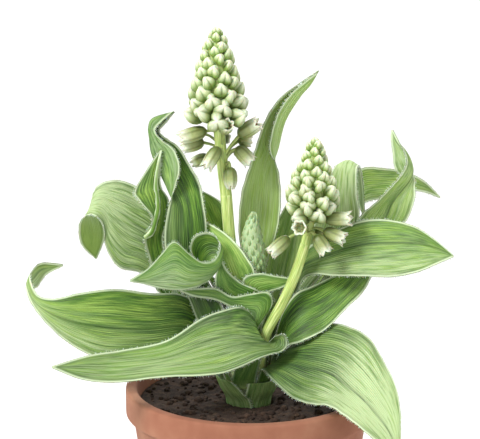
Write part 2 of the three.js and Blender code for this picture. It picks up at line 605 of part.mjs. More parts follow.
// Standing right leaf that twists half way up
place('leaf_twisted_right', leaf([
  ...feet('low', 26, 44),
  [[24, 44, 9.8], [28, 40, 10.4], [32, 37, 8.8]],
  [[40, 66, 14.1], [46, 62, 15.1], [50.5, 59, 13.1]],
  [[49, 82, 15], [57, 79, 18], [64.5, 76, 16.6]],
  [[55.6, 92.6, 14.7], [67, 90, 19.1], [77.5, 88.6, 18.1]],
  [[62.5, 98.5, 15.3], [71, 98.5, 19.9], [82.2, 99.6, 19.5]],
  [[68.6, 104.8, 16], [76, 105, 20.4], [82.6, 106.2, 22]],
  [[73.2, 109.8, 17], [80, 110.2, 21.3], [81.6, 111.6, 25]],
  [[76.6, 114.4, 18.4], [81.4, 115, 22.8], [75, 112.6, 26.2]],
  [[78.2, 119.4, 20.2], [79.9, 120, 23.6], [72.2, 117, 26.4]],
  [[76.8, 124.5, 22.4], [77, 125, 25], [71.4, 123.6, 26.6]],
  [[74.4, 129.5, 24.6], [73.2, 129.2, 25.9], [70.6, 129.2, 26.8]],
  [[71.1, 135, 27.4]],
], { along: 26, across: 4, waves: 3, ripple: 0.1 }), leafGreen);

// Big right leaf: broad, folded along its middle line, its near half lying lower
place('leaf_right', leaf([
  ...feet('mid', -6, 40),
  [[13, 45, 2.7], [14, 41, 1.1], [15, 37.5, -0.7]],
  [[19, 60, 3.8], [21, 55, 2.2], [22.5, 51.5, 0.8]],
  [[26, 73, 3.1], [27, 66, 0.7], [29, 61.8, -3.5]],
  [[37, 82, 1.6], [41, 71.5, -2.9], [44, 62, -10.4]],
  [[53, 89, -0.5], [56, 75, -6.3], [58, 61.6, -15.5]],
  [[67, 90.4, -3.6], [70, 75.8, -10.4], [72, 61.6, -18.6]],
  [[81, 87.4, -7.9], [83, 76, -14.1], [84, 63.9, -19.7]],
  [[91.5, 81, -12.7], [93, 74.8, -16.3], [93, 67.7, -19.9]],
  [[101.8, 72, -18.5]],
], { along: 20, across: 4, waves: 5 }), leafGreen);

// Dark right leaf under it
place('leaf_right_under', leaf([
  ...feet('low', -16, 32),
  [[14.5, 38, -3.6], [16, 30, -6.6], [16, 25, -10]],
  [[21.5, 52, -2.2], [25, 40, -8.6], [27, 29.5, -15]],
  [[31, 57, 0], [36, 46, -6], [38, 35.5, -12]],
  [[42, 62.5, 3], [46, 54, -1.6], [48.5, 46, -7]],
  [[51, 67, 5.6], [54, 61.5, 3], [57.5, 55.4, -0.6]],
  [[64, 70, 6.6]],
], { along: 18, across: 4, waves: 4, phase: 1 }), leafGreen);

// Broad drooping front-right leaf, over the rim of the pot
place('leaf_drooping', leaf([
  ...feet('low', -54, 38),
  [[13, 19, -9.4], [10, 17, -13], [6, 15.5, -16]],
  [[24, 30, -6], [19, 20, -17.5], [11, 10, -26]],
  [[34, 37.5, -5.4], [31, 18, -25], [20.5, 1.4, -36]],
  [[47, 37.5, -9], [42, 14.5, -32], [30.5, -2, -46]],
  [[58.6, 31.8, -17], [50, 7.5, -39], [39.5, -3.4, -52]],
  [[66.8, 19.5, -28], [58, 0, -48], [47.5, -8, -57.5]],
  [[72.7, 7.5, -41], [65.5, -9.5, -56], [56, -15, -62]],
  [[75.2, -4.5, -54], [70.5, -17.5, -62], [64, -21.5, -65]],
  [[75.4, -17, -64], [73.4, -24.5, -66], [70.4, -27, -67]],
  [[75.5, -34, -69]],
], { along: 22, across: 4, waves: 5, phase: 2 }), leafGreen);

// Flowers and buds: each raceme is one body; its stalks and buds are sunk into a slim core
function turnTo(direction) {
  return new THREE.Quaternion().setFromUnitVectors(new THREE.Vector3(0, 0, 1), direction.clone().normalize());
}

// A bud: a blunt spindle with a few flat sides, its root at the base point
function bud(base, direction, length, radius, sides = 5) {
  const rings = [[0.3, 0.82], [0.74, 0.92]].map(([h, r]) => {
    const ring = [];
    for (let j = 0; j < sides; j += 1) {
      const a = 2 * Math.PI * j / sides;
      ring.push(new THREE.Vector3(r * radius * Math.cos(a), r * radius * Math.sin(a), h * length));
    }
    return ring;
  });
  const spindle = ringSkin(rings, new THREE.Vector3(0, 0, 0), new THREE.Vector3(0, 0, length));
  spindle.applyQuaternion(turnTo(direction)).translate(base.x, base.y, base.z);
  return solid(spindle);
}

// An open flower: a six-sided tube that flares at its sunken mouth
function flower(base, direction, length, radius) {
  const sides = 6;
  const rings = [[0.06, 0.55], [0.42, 1], [0.8, 0.92], [1, 1.22]].map(([h, r]) => {
    const ring = [];
    for (let j = 0; j < sides; j += 1) {
      const a = 2 * Math.PI * j / sides;
      ring.push(new THREE.Vector3(r * radius * Math.cos(a), r * radius * Math.sin(a), h * length));
    }
    return ring;
  });
  const tube = ringSkin(rings, new THREE.Vector3(0, 0, 0), new THREE.Vector3(0, 0, 0.72 * length));
  tube.applyQuaternion(turnTo(direction)).translate(base.x, base.y, base.z);
  return solid(tube);
}

function along(list, k) {
  const at = Math.min(k, 0.9999) * (list.length - 1);
  const low = Math.floor(at);
  return THREE.MathUtils.lerp(list[low], list[low + 1], at - low);
}

// A raceme: a core that swells under the cone of buds, and open flowers on stalks below the cone
function raceme({ spine, core, coneFrom, reach, count, budLength, seed, flowers }) {
  const axis = new THREE.CatmullRomCurve3(spine, false, 'catmullrom', 0.5);
  const random = randomFrom(seed);
  const parts = [solid(stem(spine, core, 6, core.length - 1))];
  const golden = Math.PI * (3 - Math.sqrt(5));
  for (let i = 0; i < count; i += 1) {
    const t = (i + 0.5) / count;
    const k = t * (1.25 - 0.25 * t);
    const s = THREE.MathUtils.lerp(coneFrom, 1, k);
    const centre = axis.getPointAt(s);
    const up = axis.getTangentAt(s);
    const side = new THREE.Vector3(Math.cos(golden * i + seed), Math.sin(golden * i + seed), 0);
    const direction = side.clone().addScaledVector(up, 0.22 + 1.9 * k ** 1.2).normalize();
    const size = THREE.MathUtils.lerp(budLength[0], budLength[1], k);
    const out = along(reach, k) * (0.96 + 0.08 * random());
    const length = Math.max(size, 0.8 * out / direction.dot(side));
    const tip = centre.clone().addScaledVector(side, out);
    const base = tip.clone().addScaledVector(direction, -length);
    parts.push(bud(base, direction, length, size * 0.46));
  }
  const top = axis.getPointAt(1);
  const last = axis.getTangentAt(1);
  parts.push(bud(top.clone().addScaledVector(last, -4), last, 4.6, 1.7));
  for (const [at, stalkMid, base, mouth, radius] of flowers) {
    const [a, b, c, d] = [at, stalkMid, base, mouth].map(seen);
    const direction = d.clone().sub(c);
    parts.push(flower(c, direction, direction.length(), radius));
    const root = c.clone().addScaledVector(direction, 0.12);
    parts.push(solid(stem([a, b, root], [1, 0.9], 4, 2)));
  }
  return wasm.Manifold.union(parts);
}

// First raceme: a tall cone of buds with open flowers below it
const racemeA = raceme({
  spine: [
    [-12.02, 103.5, 5.5],
    [-14, 120, 5],
    [-15.8, 140, 4.4],
    [-16.6, 162, 4],
    [-17.2, 186.4, 3.6],
  ].map(seen),
  core: [2.9, 2.8, 2.8, 2.7, 2.7, 2.7, 2.7, 5.5, 11, 11.2, 10, 8.8, 7.4, 5.8, 4, 1.6],
  coneFrom: 0.475,
  reach: [16.8, 15.8, 13.8, 11.8, 10.1, 8, 5.6, 2.6],
  count: 39,
  budLength: [11.2, 5.2],
  seed: 11,
  flowers: [
    [[-14.6, 131, 4.4], [-18, 134.5, 3], [-21.6, 134.8, 2], [-36, 130.6, -1], 3.6],
    [[-14.4, 125, 5], [-18.5, 127.5, 5.4], [-23, 129.4, 6], [-34, 126, 7], 3.3],
    [[-13.4, 118, 4], [-14, 125, 0.6], [-15.6, 126.6, -1.6], [-22.5, 115.4, -6], 3.5],
    [[-13.2, 117, 6], [-17, 120.6, 9.4], [-20.6, 121.6, 12], [-28.6, 118.4, 16.6], 3.1],
    [[-12.6, 116.6, 4.2], [-10.6, 119, 1.4], [-10, 116.6, 0.6], [-9.6, 105, -1], 3.5],
    [[-12.8, 122, 4], [-9.4, 127.6, 2], [-6, 132.2, 1], [5, 139, -1], 3.7],
    [[-12.8, 122.6, 6], [-9, 127, 7.4], [-6, 130, 8], [1, 129.4, 9], 3.2],
    [[-12.4, 120, 5], [-9.4, 124.6, 4], [-6.8, 126.6, 4], [0.8, 118.4, 3], 3.6],
    [[-14, 128, 3], [-13.4, 132, -1.6], [-13, 134.6, -4], [-11, 138, -11], 3.3],
    [[-14, 124, 7], [-14, 129, 11], [-14, 131, 13], [-13, 131, 21], 3.4],
    [[-14, 127, 7], [-20, 132, 10], [-23, 133, 12], [-31, 133, 17], 3.3],
    [[-13, 120, 7], [-9, 124, 10.6], [-7, 125, 12.6], [-1, 122, 19], 3.4],
  ],
});
place('raceme_a', geometryOf(racemeA), flowerCream);

// Second raceme
const racemeB = raceme({
  spine: [[27.72, 78.5, -9], [30, 90, -9], [31.2, 104, -9], [32, 118, -9], [32.4, 131.4, -9]].map(seen),
  core: [2.5, 2.4, 2.4, 2.6, 7, 9.6, 9.6, 8.4, 7, 5.6, 4.2, 2.8, 1.2],
  coneFrom: 0.31,
  reach: [12.6, 13.6, 12.8, 10.6, 7.6, 4.8, 2.4],
  count: 28,
  budLength: [10.6, 4.8],
  seed: 4,
  flowers: [
    [[28.4, 82, -9], [24, 83.4, -10], [19.6, 81.6, -11], [9.6, 72.6, -14], 3.4],
    [[28.8, 84, -10], [27.6, 85.6, -14], [26.6, 86, -16], [24.4, 86.2, -21], 3.2],
    [[29.6, 87, -9], [33.4, 89.4, -10], [37, 90.4, -11], [51.4, 90.8, -13], 3.5],
    [[29.2, 85, -9], [33, 86, -11], [36.6, 84.6, -12], [48, 80, -15], 3.4],
    [[28.8, 82, -10], [30.6, 84.2, -14], [32.6, 82.6, -15.6], [38.6, 73, -18], 3.5],
    [[28.6, 82, -8.4], [30.6, 84, -5], [32, 84.6, -3.6], [37, 82.4, 0], 2.8],
    [[28.8, 84, -8], [27, 86.6, -4], [26, 87, -2], [23, 86, 4], 3],
  ],
});
place('raceme_b', geometryOf(racemeB), flowerCream);

// Young raceme, still a tight spindle of scales
const spindleSpine = [[3.62, 62, 4.02], [2.2, 71, 4.2], [1, 82, 4.2], [1.8, 94, 4]].map(seen);
const spindleAxis = new THREE.CatmullRomCurve3(spindleSpine, false, 'catmullrom', 0.5);
const spindleParts = [solid(stem(spindleSpine, [1.9, 4.9, 5.8, 4.7, 1.2], 7, 6))];
const SCALES = 18;
for (let i = 0; i < SCALES; i += 1) {
  const k = (i + 0.5) / SCALES;
  const a = i * Math.PI * (3 - Math.sqrt(5));
  const centre = spindleAxis.getPointAt(0.08 + 0.82 * k);
  const up = spindleAxis.getTangentAt(0.08 + 0.82 * k);
  const side = new THREE.Vector3(Math.cos(a), Math.sin(a), 0);
  const wide = along([2.6, 5.4, 6, 4.6, 1.8], k);
  const base = centre.clone().addScaledVector(side, wide * 0.7).addScaledVector(up, -1);
  const way = side.clone().multiplyScalar(0.34 - 0.26 * k).addScaledVector(up, 1);
  spindleParts.push(bud(base, way, 6, 2.1, 4));
}
place('raceme_c', geometryOf(wasm.Manifold.union(spindleParts)), budGreen);

export default plant;
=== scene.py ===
import math
import random

import bpy
import numpy as np
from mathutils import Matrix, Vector


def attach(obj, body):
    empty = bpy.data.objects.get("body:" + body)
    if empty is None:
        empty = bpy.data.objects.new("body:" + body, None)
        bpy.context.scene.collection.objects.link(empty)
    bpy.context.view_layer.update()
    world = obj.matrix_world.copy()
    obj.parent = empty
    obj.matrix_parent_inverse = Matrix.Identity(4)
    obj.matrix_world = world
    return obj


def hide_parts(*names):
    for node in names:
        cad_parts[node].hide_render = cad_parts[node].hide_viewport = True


# Potted bellevalia: a bulb plant with waved strap leaves, two scapes in flower and one in bud.
# Sizes are millimetres in the part's own frame and become metres when a mesh is made.
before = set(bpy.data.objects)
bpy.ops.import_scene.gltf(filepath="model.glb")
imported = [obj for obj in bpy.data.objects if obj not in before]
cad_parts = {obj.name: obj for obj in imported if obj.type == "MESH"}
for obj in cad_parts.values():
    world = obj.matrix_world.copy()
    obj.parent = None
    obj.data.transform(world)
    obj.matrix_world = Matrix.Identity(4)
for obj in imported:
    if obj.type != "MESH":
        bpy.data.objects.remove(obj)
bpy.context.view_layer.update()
scene = bpy.context.scene

# The viewpoint looks a little down on the plant through a long lens, so that near and far leaves keep
# almost the same scale. The plane that the camera faces goes through the foot of the neck.
SOIL_Z = 107.0
VIEW_TILT = math.radians(15)
VIEW_DISTANCE = 1333.3
VIEW_WIDTH = 240.0
VIEW_CENTRE = (-5, 90.25)
SENSOR_WIDTH = 36


def sheet_point(across, up):
    """The point of the facing plane that lies so far across and up from the foot of the neck."""
    return np.array([across, up * math.sin(VIEW_TILT), SOIL_Z + up * math.cos(VIEW_TILT)])


EYE = sheet_point(*VIEW_CENTRE) + VIEW_DISTANCE * np.array([0, -math.cos(VIEW_TILT), math.sin(VIEW_TILT)])

camera = bpy.data.objects.new("camera", bpy.data.cameras.new("camera"))
camera.data.sensor_width = SENSOR_WIDTH
camera.data.lens = SENSOR_WIDTH * VIEW_DISTANCE / VIEW_WIDTH
camera.data.clip_start = 0.05
camera.data.clip_end = 20
camera.location = Vector(EYE) / 1000
camera.rotation_euler = (math.pi / 2 - VIEW_TILT, 0, 0)
scene.collection.objects.link(camera)
scene.camera = camera

# The pot is thrown red clay, fired and left unglazed: a straight cone with a thick rim band, a flat foot
# and three drain holes. It carries everything else and stands on its foot.
POT_HEIGHT = 115.0
RIM_RADIUS = 62.0
FOOT_RADIUS = 43.0
WALL = 4.0
FLOOR = 5.0
RIM_BAND = 14.0
RIM_STEP = 3.5
ARRIS = 1.6
DRAINS = 3
DRAIN_RADIUS = 4.5
DRAIN_RING = 24.0


def linear(colour):
    """sRGB hex to the linear colour that the shaders read."""
    parts = [int(colour[i:i + 2], 16) / 255 for i in (1, 3, 5)]
    return [p / 12.92 if p <= 0.04045 else ((p + 0.055) / 1.055) ** 2.4 for p in parts] + [1.0]


def add(tree, kind, inputs=None, ramp=(), **settings):
    """Adds a node with its settings, its ramp's (place, colour) stops and its inputs: values or links."""
    made = tree.nodes.new(kind)
    for name, value in settings.items():
        setattr(made, name, value)
    for i, (place, colour) in enumerate(ramp):
        stop = made.color_ramp.elements[i] if i < 2 else made.color_ramp.elements.new(place)
        stop.position = place
        stop.color = linear(colour)
    for socket, value in (inputs or {}).items():
        if isinstance(value, bpy.types.NodeSocket):
            tree.links.new(value, made.inputs[socket])
        else:
            made.inputs[socket].default_value = value
    return made


def finish_named(name, roughness, ior, subsurface=0.0):
    """A new material with the whole-surface numbers set on its shader; light goes 1.5 mm into it."""
    made = bpy.data.materials.new(name)
    made.use_nodes = True
    shader = made.node_tree.nodes["Principled BSDF"]
    shader.inputs["Roughness"].default_value = roughness
    shader.inputs["IOR"].default_value = ior
    shader.inputs["Subsurface Weight"].default_value = subsurface
    shader.inputs["Subsurface Scale"].default_value = 1.5 / 1000
    return made, made.node_tree, shader


def piece(name, points, faces, materials, slots=None, uv=None, values=None):
    """A smooth mesh from points in millimetres; values are one number a point for each named attribute."""
    mesh = bpy.data.meshes.new(name)
    mesh.from_pydata((np.asarray(points) / 1000).tolist(), [], [tuple(f) for f in faces])
    for finish in materials:
        mesh.materials.append(finish)
    if slots is not None:
        mesh.polygons.foreach_set("material_index", np.asarray(slots, np.int32))
    if uv is not None:
        corners = np.empty(len(mesh.loops), np.int32)
        mesh.loops.foreach_get("vertex_index", corners)
        layer = mesh.uv_layers.new(name="UVMap")
        layer.data.foreach_set("uv", np.asarray(uv, np.float32)[corners].ravel())
    for label, numbers in (values or {}).items():
        given = mesh.attributes.new(label, "FLOAT", "POINT")
        given.data.foreach_set("value", np.asarray(numbers, np.float32))
    mesh.polygons.foreach_set("use_smooth", np.ones(len(mesh.polygons), bool))
    mesh.update()
    made = bpy.data.objects.new(name, mesh)
    scene.collection.objects.link(made)
    return made


def rounded(profile, radius, steps=4):
    """A profile of (radius, height) points with its corners eased to short curves."""
    points = [np.array(p, float) for p in profile]
    eased = [points[0]]
    for before, corner, after in zip(points, points[1:], points[2:]):
        cut = []
        for p in (before, after):
            share = min(radius / max(np.linalg.norm(p - corner), 1e-6), 0.45)
            cut.append(corner + (p - corner) * share)
        for i in range(steps + 1):
            t = i / steps
            eased.append((1 - t) ** 2 * cut[0] + 2 * t * (1 - t) * corner + t * t * cut[1])
    return eased + [points[-1]]


def ring_faces(rings, sides):
    """The faces of a closed skin over a first pole, rings of points and a last pole, in that order."""
    last = 1 + rings * sides
    faces = []
    for j in range(sides):
        k = (j + 1) % sides
        faces.append((0, 1 + k, 1 + j))
        for low in range(1, last - sides, sides):
            faces.append((low + j, low + k, low + sides + k, low + sides + j))
        faces.append((last - sides + j, last - sides + k, last))
    return faces


def turned(profile, steps):
    """A solid of revolution about the pot's axis; the profile starts and ends on the axis."""
    points = [(0, 0, profile[0][1])]
    for r, z in profile[1:-1]:
        for j in range(steps):
            a = 2 * math.pi * j / steps
            points.append((r * math.cos(a), r * math.sin(a), z))
    points.append((0, 0, profile[-1][1]))
    return np.array(points), ring_faces(len(profile) - 2, steps)


# Unglazed earthenware, thrown and fired: dry and matt, its red uneven in patches about 38 mm across, with
# fine grit of about 0.6 mm. On the lowest 16 mm the water leaves a trace of pale lime, in flecks of 11 mm.
clay, tree, shader = finish_named("unglazed_earthenware", 0.88, 1.5)
place = add(tree, "ShaderNodeTexCoord").outputs["Object"]
firing = add(
    tree, "ShaderNodeTexNoise", {"Vector": place, "Scale": 1000 / 38, "Detail": 4.0, "Roughness": 0.6})
body = add(
    tree, "ShaderNodeValToRGB", {0: firing.outputs["Fac"]},
    ramp=[(0.3, "#84503a"), (0.5, "#946149"), (0.72, "#a5775c")])
height = add(tree, "ShaderNodeSeparateXYZ", {0: place}).outputs["Z"]
lime_place = add(
    tree, "ShaderNodeMapRange",
    {"Value": height, "From Min": 16 / 1000, "From Max": 0.0, "To Min": 0.0, "To Max": 0.55})
lime_patch = add(
    tree, "ShaderNodeTexNoise", {"Vector": place, "Scale": 1000 / 11, "Detail": 5.0, "Roughness": 0.7})
lime = add(
    tree, "ShaderNodeMath", {0: lime_place.outputs[0], 1: lime_patch.outputs["Fac"]}, operation="MULTIPLY")
limed = add(
    tree, "ShaderNodeMix", {0: lime.outputs[0], 6: body.outputs["Color"], 7: linear("#d9bfa8")},
    data_type="RGBA")
tree.links.new(limed.outputs[2], shader.inputs["Base Color"])
grit = add(tree, "ShaderNodeTexNoise", {"Vector": place, "Scale": 1000 / 0.6, "Detail": 2.0})
bump = add(tree, "ShaderNodeBump", {"Strength": 0.25, "Distance": 0.0003, "Height": grit.outputs["Fac"]})
tree.links.new(bump.outputs["Normal"], shader.inputs["Normal"])

INNER_TOP = RIM_RADIUS - WALL - 1.5
INNER_FLOOR = FOOT_RADIUS - WALL
pot_profile = rounded([
    (0, 0), (FOOT_RADIUS, 0), (RIM_RADIUS - RIM_STEP, POT_HEIGHT - RIM_BAND),
    (RIM_RADIUS, POT_HEIGHT - RIM_BAND), (RIM_RADIUS, POT_HEIGHT), (INNER_TOP, POT_HEIGHT),
    (INNER_FLOOR, FLOOR), (0, FLOOR)], ARRIS)
pot = piece("pot_clay", *turned(pot_profile, 112), [clay])
# Each drain hole is cut with a round drill, which is taken away again.
for i in range(DRAINS):
    turn = math.radians(90 + 360 / DRAINS * i)
    hole, hole_faces = turned([(0, -3), (DRAIN_RADIUS, -3), (DRAIN_RADIUS, FLOOR + 3), (0, FLOOR + 3)], 28)
    hole += DRAIN_RING * np.array([math.cos(turn), math.sin(turn), 0])
    drill = piece("drill", hole, hole_faces, [clay])
    cut = pot.modifiers.new("drain", "BOOLEAN")
    cut.object = drill
    cut.solver = "EXACT"
    bpy.context.view_layer.update()
    drilled = bpy.data.meshes.new_from_object(pot.evaluated_get(bpy.context.evaluated_depsgraph_get()))
    pot.modifiers.clear()
    pot.data = drilled
    bpy.data.objects.remove(drill)
pot.data.polygons.foreach_set("use_smooth", np.ones(len(pot.data.polygons), bool))
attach(pot, "root")
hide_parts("pot")

# The soil fills the pot to 8 mm below its rim: dark peaty earth, crumbly, with small lumps lying on it and
# a plain hole where the neck comes up.
HOLE_RADIUS = 12.0
BULB_WIDEST = 17.0
BULB_FOOT = -40.0
# The soil keeps a little clear of the pot and of the bulb, so that no two skins share a place.
WALL_GAP = 0.45
CLEARANCE = 0.35
SOIL_CROWN = 0.4
HOLE_LIP = 1.2
SOIL_RINGS = 35
LUMP_HEIGHT = 0.25
CRUMBS = 420
CRUMB_RADII = [0.7, 0.9, 1.2, 1.6, 2.1]

peat, tree, shader = finish_named("peaty_potting_soil", 0.95, 1.4)
place = add(tree, "ShaderNodeTexCoord").outputs["Object"]
# Crumbs of 2 to 5 mm vary from near black to brown; grains of about 0.8 mm roughen them.
crumb = add(tree, "ShaderNodeTexNoise", {"Vector": place, "Scale": 1000 / 4, "Detail": 6.0, "Roughness": 0.7})
brown = add(
    tree, "ShaderNodeValToRGB", {0: crumb.outputs["Fac"]},
    ramp=[(0.3, "#1f1712"), (0.52, "#38291f"), (0.75, "#5b4636")])
tree.links.new(brown.outputs["Color"], shader.inputs["Base Color"])
grain = add(tree, "ShaderNodeTexNoise", {"Vector": place, "Scale": 1000 / 0.8, "Detail": 4.0})
bump = add(tree, "ShaderNodeBump", {"Strength": 0.7, "Distance": 0.0008, "Height": grain.outputs["Fac"]})
tree.links.new(bump.outputs["Normal"], shader.inputs["Normal"])

soil_edge = INNER_TOP - 0.6
soil_span = soil_edge - 1 - HOLE_RADIUS - HOLE_LIP
soil_rings = [
    (HOLE_RADIUS + HOLE_LIP + soil_span * i / (SOIL_RINGS - 1), SOIL_Z + SOIL_CROWN)
    for i in range(SOIL_RINGS)]
soil_profile = [
    (0, FLOOR + CLEARANCE), (INNER_FLOOR - WALL_GAP, FLOOR + CLEARANCE), (soil_edge - 0.3, SOIL_Z - 1),
    *soil_rings[::-1], (HOLE_RADIUS, SOIL_Z - 0.6), (HOLE_RADIUS, SOIL_Z - 5),
    (BULB_WIDEST + CLEARANCE, SOIL_Z - 17), (BULB_WIDEST + CLEARANCE, SOIL_Z - 27),
    (9, SOIL_Z + BULB_FOOT - CLEARANCE), (0, SOIL_Z + BULB_FOOT - CLEARANCE)]
soil_points, soil_faces = turned(soil_profile, 132)
for p in soil_points:
    if p[2] > SOIL_Z:
        x, y = p[0], p[1]
        lumps = math.sin(0.9 * x + 1.3) * math.cos(1.1 * y)
        lumps += 0.6 * math.sin(2.3 * x - 1.7 * y) + 0.5 * math.cos(3.1 * y + 1.9 * x)
        p[2] += LUMP_HEIGHT * lumps

# Loose crumbs lie between the hole and the wall: squashed, uneven balls, each sunk a little into the soil.
draw = random.Random(7)
points, faces = [soil_points], list(soil_faces)
for i in range(CRUMBS):
    turn, out = draw.uniform(0, 2 * math.pi), math.sqrt(draw.uniform(0.075, 0.9)) * soil_edge
    size = draw.choice(CRUMB_RADII)
    middle = np.array([out * math.cos(turn), out * math.sin(turn), SOIL_Z + SOIL_CROWN + 0.2 * size])
    ball, ball_faces = turned([(0, -1), (0.75, -0.6), (1, 0.1), (0.6, 0.75), (0, 1)], 7)
    ball = ball * np.array([draw.uniform(0.8, 1.3), draw.uniform(0.7, 1.1), draw.uniform(0.5, 0.8)]) * size
    ball *= np.array([[draw.uniform(0.85, 1.15)] for _ in ball])
    c, s = math.cos(7 * turn), math.sin(7 * turn)
    start = sum(len(p) for p in points)
    points.append(ball @ np.array([[c, s, 0], [-s, c, 0], [0, 0, 1]]) + middle)
    faces += [tuple(k + start for k in f) for f in ball_faces]
soil = piece("soil_surface", np.concatenate(points), faces, [peat])
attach(soil, "root")
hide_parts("soil")

# The neck of the bulb: the white bulb narrows to a pale stalk of packed leaf bases, cream at the soil and
# green further up, with three shoulders where the leaves part from it. Each point is a radius and a height
# over the soil.
NECK = [(8.4, -4), (8.8, 0), (10.1, 9), (10.7, 14), (8.6, 16.5), (8.6, 22.5), (6.4, 24.5), (6.4, 30.5)]

tunic, tree, shader = finish_named("fleshy_leaf_bases", 0.5, 1.4, 0.2)
place = add(tree, "ShaderNodeTexCoord").outputs["Object"]
height = add(tree, "ShaderNodeSeparateXYZ", {0: place}).outputs["Z"]
rise = add(tree, "ShaderNodeMapRange", {"Value": height, "From Min": 100 / 1000, "From Max": 135 / 1000})
pale = add(
    tree, "ShaderNodeValToRGB", {0: rise.outputs[0]},
    ramp=[(0.0, "#d8cfae"), (0.35, "#d5dcae"), (1.0, "#9fb670")])
# Fibres run up the neck about 0.8 mm apart.
fibre_place = add(tree, "ShaderNodeMapping", {"Vector": place, "Scale": (1000 / 0.8, 1000 / 0.8, 1000 / 18)})
fibre = add(tree, "ShaderNodeTexNoise", {"Vector": fibre_place.outputs[0], "Scale": 1.0, "Detail": 2.0})
streak = add(
    tree, "ShaderNodeMix", {0: fibre.outputs["Fac"], 6: pale.outputs["Color"], 7: linear("#7f9a58")},
    data_type="RGBA")
half = add(tree, "ShaderNodeMix", {0: 0.4, 6: pale.outputs["Color"], 7: streak.outputs[2]}, data_type="RGBA")
tree.links.new(half.outputs[2], shader.inputs["Base Color"])

bulb_profile = [
    (0, SOIL_Z + BULB_FOOT), (8, SOIL_Z + BULB_FOOT), (BULB_WIDEST, SOIL_Z - 27),
    (BULB_WIDEST, SOIL_Z - 17.3), (11, SOIL_Z - 8), *[(r, SOIL_Z + h) for r, h in NECK],
    (5.8, SOIL_Z + 31.2), (0, SOIL_Z + 31.2)]
bulb = piece("bulb_and_neck", *turned(rounded(bulb_profile, 1.5), 48), [tunic])
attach(bulb, "root")
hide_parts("bulb")

# The leaves: fleshy blades under a millimetre thick, with parallel veins, a waxy bloom marked with painted
# highlights, painted shade towards the middle of the plant, and thin pale margins fringed with short white
# hairs. Each grows from the neck as one waved strap.
LEAF_THICK = 0.8
MARGIN_THINNING = 0.6
TIP_WIDTH = 1.1
RIM_REACH = 5.0
# Veins stand out a little on both faces, more on the under one.
VEIN_PITCH = 1.2
RIDGE_HEIGHT = 0.045
UNDER_RIDGE = 1.4
# The margins are finely frilled, the right one out of step with the left one by so many radians.
FRILL_HEIGHT = 0.22
FRILL_PITCH = 7.0
MARGIN_LAG = 1.7
# A fold is painted shade: a thin dark line, with a softer painted shade on one side.
FOLD_LINE = 0.5
FOLD_SHADE = 2.4
# A hair is a three-sided spike with its root sunk in the margin; its corners are turns in radians.
HAIR_LENGTH = (0.8, 1.5)
HAIR_RADIUS = 0.09
HAIR_CORNERS = (0, 2.09, 4.19)
HAIR_ROOT = 0.1
# Each shoulder of the neck: the height over the soil and the radius of a leaf foot's first two rows.
SHOULDERS = {
    "low": [(9.6, 11.95), (14, 12.25)],
    "mid": [(17.5, 9.95), (22, 10.05)],
    "high": [(26, 7.2), (30.5, 7.4)]}


def seen(across, up, depth):
    """The point that shows at (across, up) on the facing plane and lies at y = depth."""
    target = sheet_point(across, up)
    return EYE + (target - EYE) * (depth - EYE[1]) / (target[1] - EYE[1])


def through(points, places):
    """A smooth curve through the points; place 0 is the first point and 1 is the last."""
    points = np.asarray(points, float)
    ends = [2 * points[0] - points[1]], points, [2 * points[-1] - points[-2]]
    knots = np.concatenate(ends)
    at = np.clip(np.asarray(places, float) * (len(points) - 1), 0, len(points) - 1 - 1e-9)
    i = at.astype(int)
    w = (at - i).reshape(-1, *[1] * (points.ndim - 1))
    a, b, c, d = knots[i], knots[i + 1], knots[i + 2], knots[i + 3]
    out, back = (c - a) / 2, (d - b) / 2
    leaving = ((2 * w - 3) * w * w + 1) * b + ((w - 2) * w + 1) * w * out
    return leaving + (3 - 2 * w) * w * w * c + (w - 1) * w * w * back


def around(bearing, width, height, radius, count):
    """An arc round the neck, from a leaf's left margin to its right margin."""
    turns = [math.radians(bearing + width * (0.5 - i / (count - 1))) for i in range(count)]
    return [(radius * math.cos(a), radius * math.sin(a), SOIL_Z + height) for a in turns]


def unit(vectors):
    """The vectors, each made one long."""
    return vectors / np.maximum(np.linalg.norm(vectors, axis=-1, keepdims=True), 1e-9)


def strap(rows, steps):
    """The smooth sheet through the rows: its places along and across, its points and its normals."""
    rows = [np.asarray(r, float) for r in rows]
    if len(rows[-1]) == 1:
        side = unit(rows[-2][-1] - rows[-2][0])
        count = len(rows[-2])
        rows[-1] = rows[-1] + np.array([side * TIP_WIDTH * (i / (count - 1) - 0.5) for i in range(count)])
    s, t = np.linspace(0, 1, steps[0] + 1), np.linspace(0, 1, steps[1] + 1)
    grid = through(np.stack(rows), s)
    grid = through(grid.transpose(1, 0, 2), t).transpose(1, 0, 2)
    normal = unit(np.cross(np.gradient(grid, axis=1), np.gradient(grid, axis=0)))
    return s, t, grid, normal


def fringe(middle, normal, count, start, draw):
    """Hairs along both margins of a blade, so many on each: thin three-sided spikes that point outward."""
    n, m = middle.shape[:2]
    points, faces = [], []
    for margin, inner in ((0, 3), (m - 1, m - 4)):
        for _ in range(count):
            at = draw.uniform(0.06, 0.985) * (n - 1)
            i = int(at)
            foot = middle[i, margin] + (middle[i + 1, margin] - middle[i, margin]) * (at - i)
            out = unit(middle[i, margin] - middle[i, inner])
            up, on = normal[i, margin], unit(middle[i + 1, margin] - middle[i, margin])
            way = unit(out + draw.uniform(-0.35, 0.6) * on + draw.uniform(-0.45, 0.45) * up)
            tip = foot + way * draw.uniform(*HAIR_LENGTH)
            root = foot - HAIR_ROOT * way
            ring = [root + HAIR_RADIUS * (math.cos(a) * up + math.sin(a) * on) for a in HAIR_CORNERS]
            points.append(np.array(ring + [tip]))
            faces += [(start + a, start + (a + 1) % 3, start + 3) for a in range(3)]
            start += 4
    return points, faces


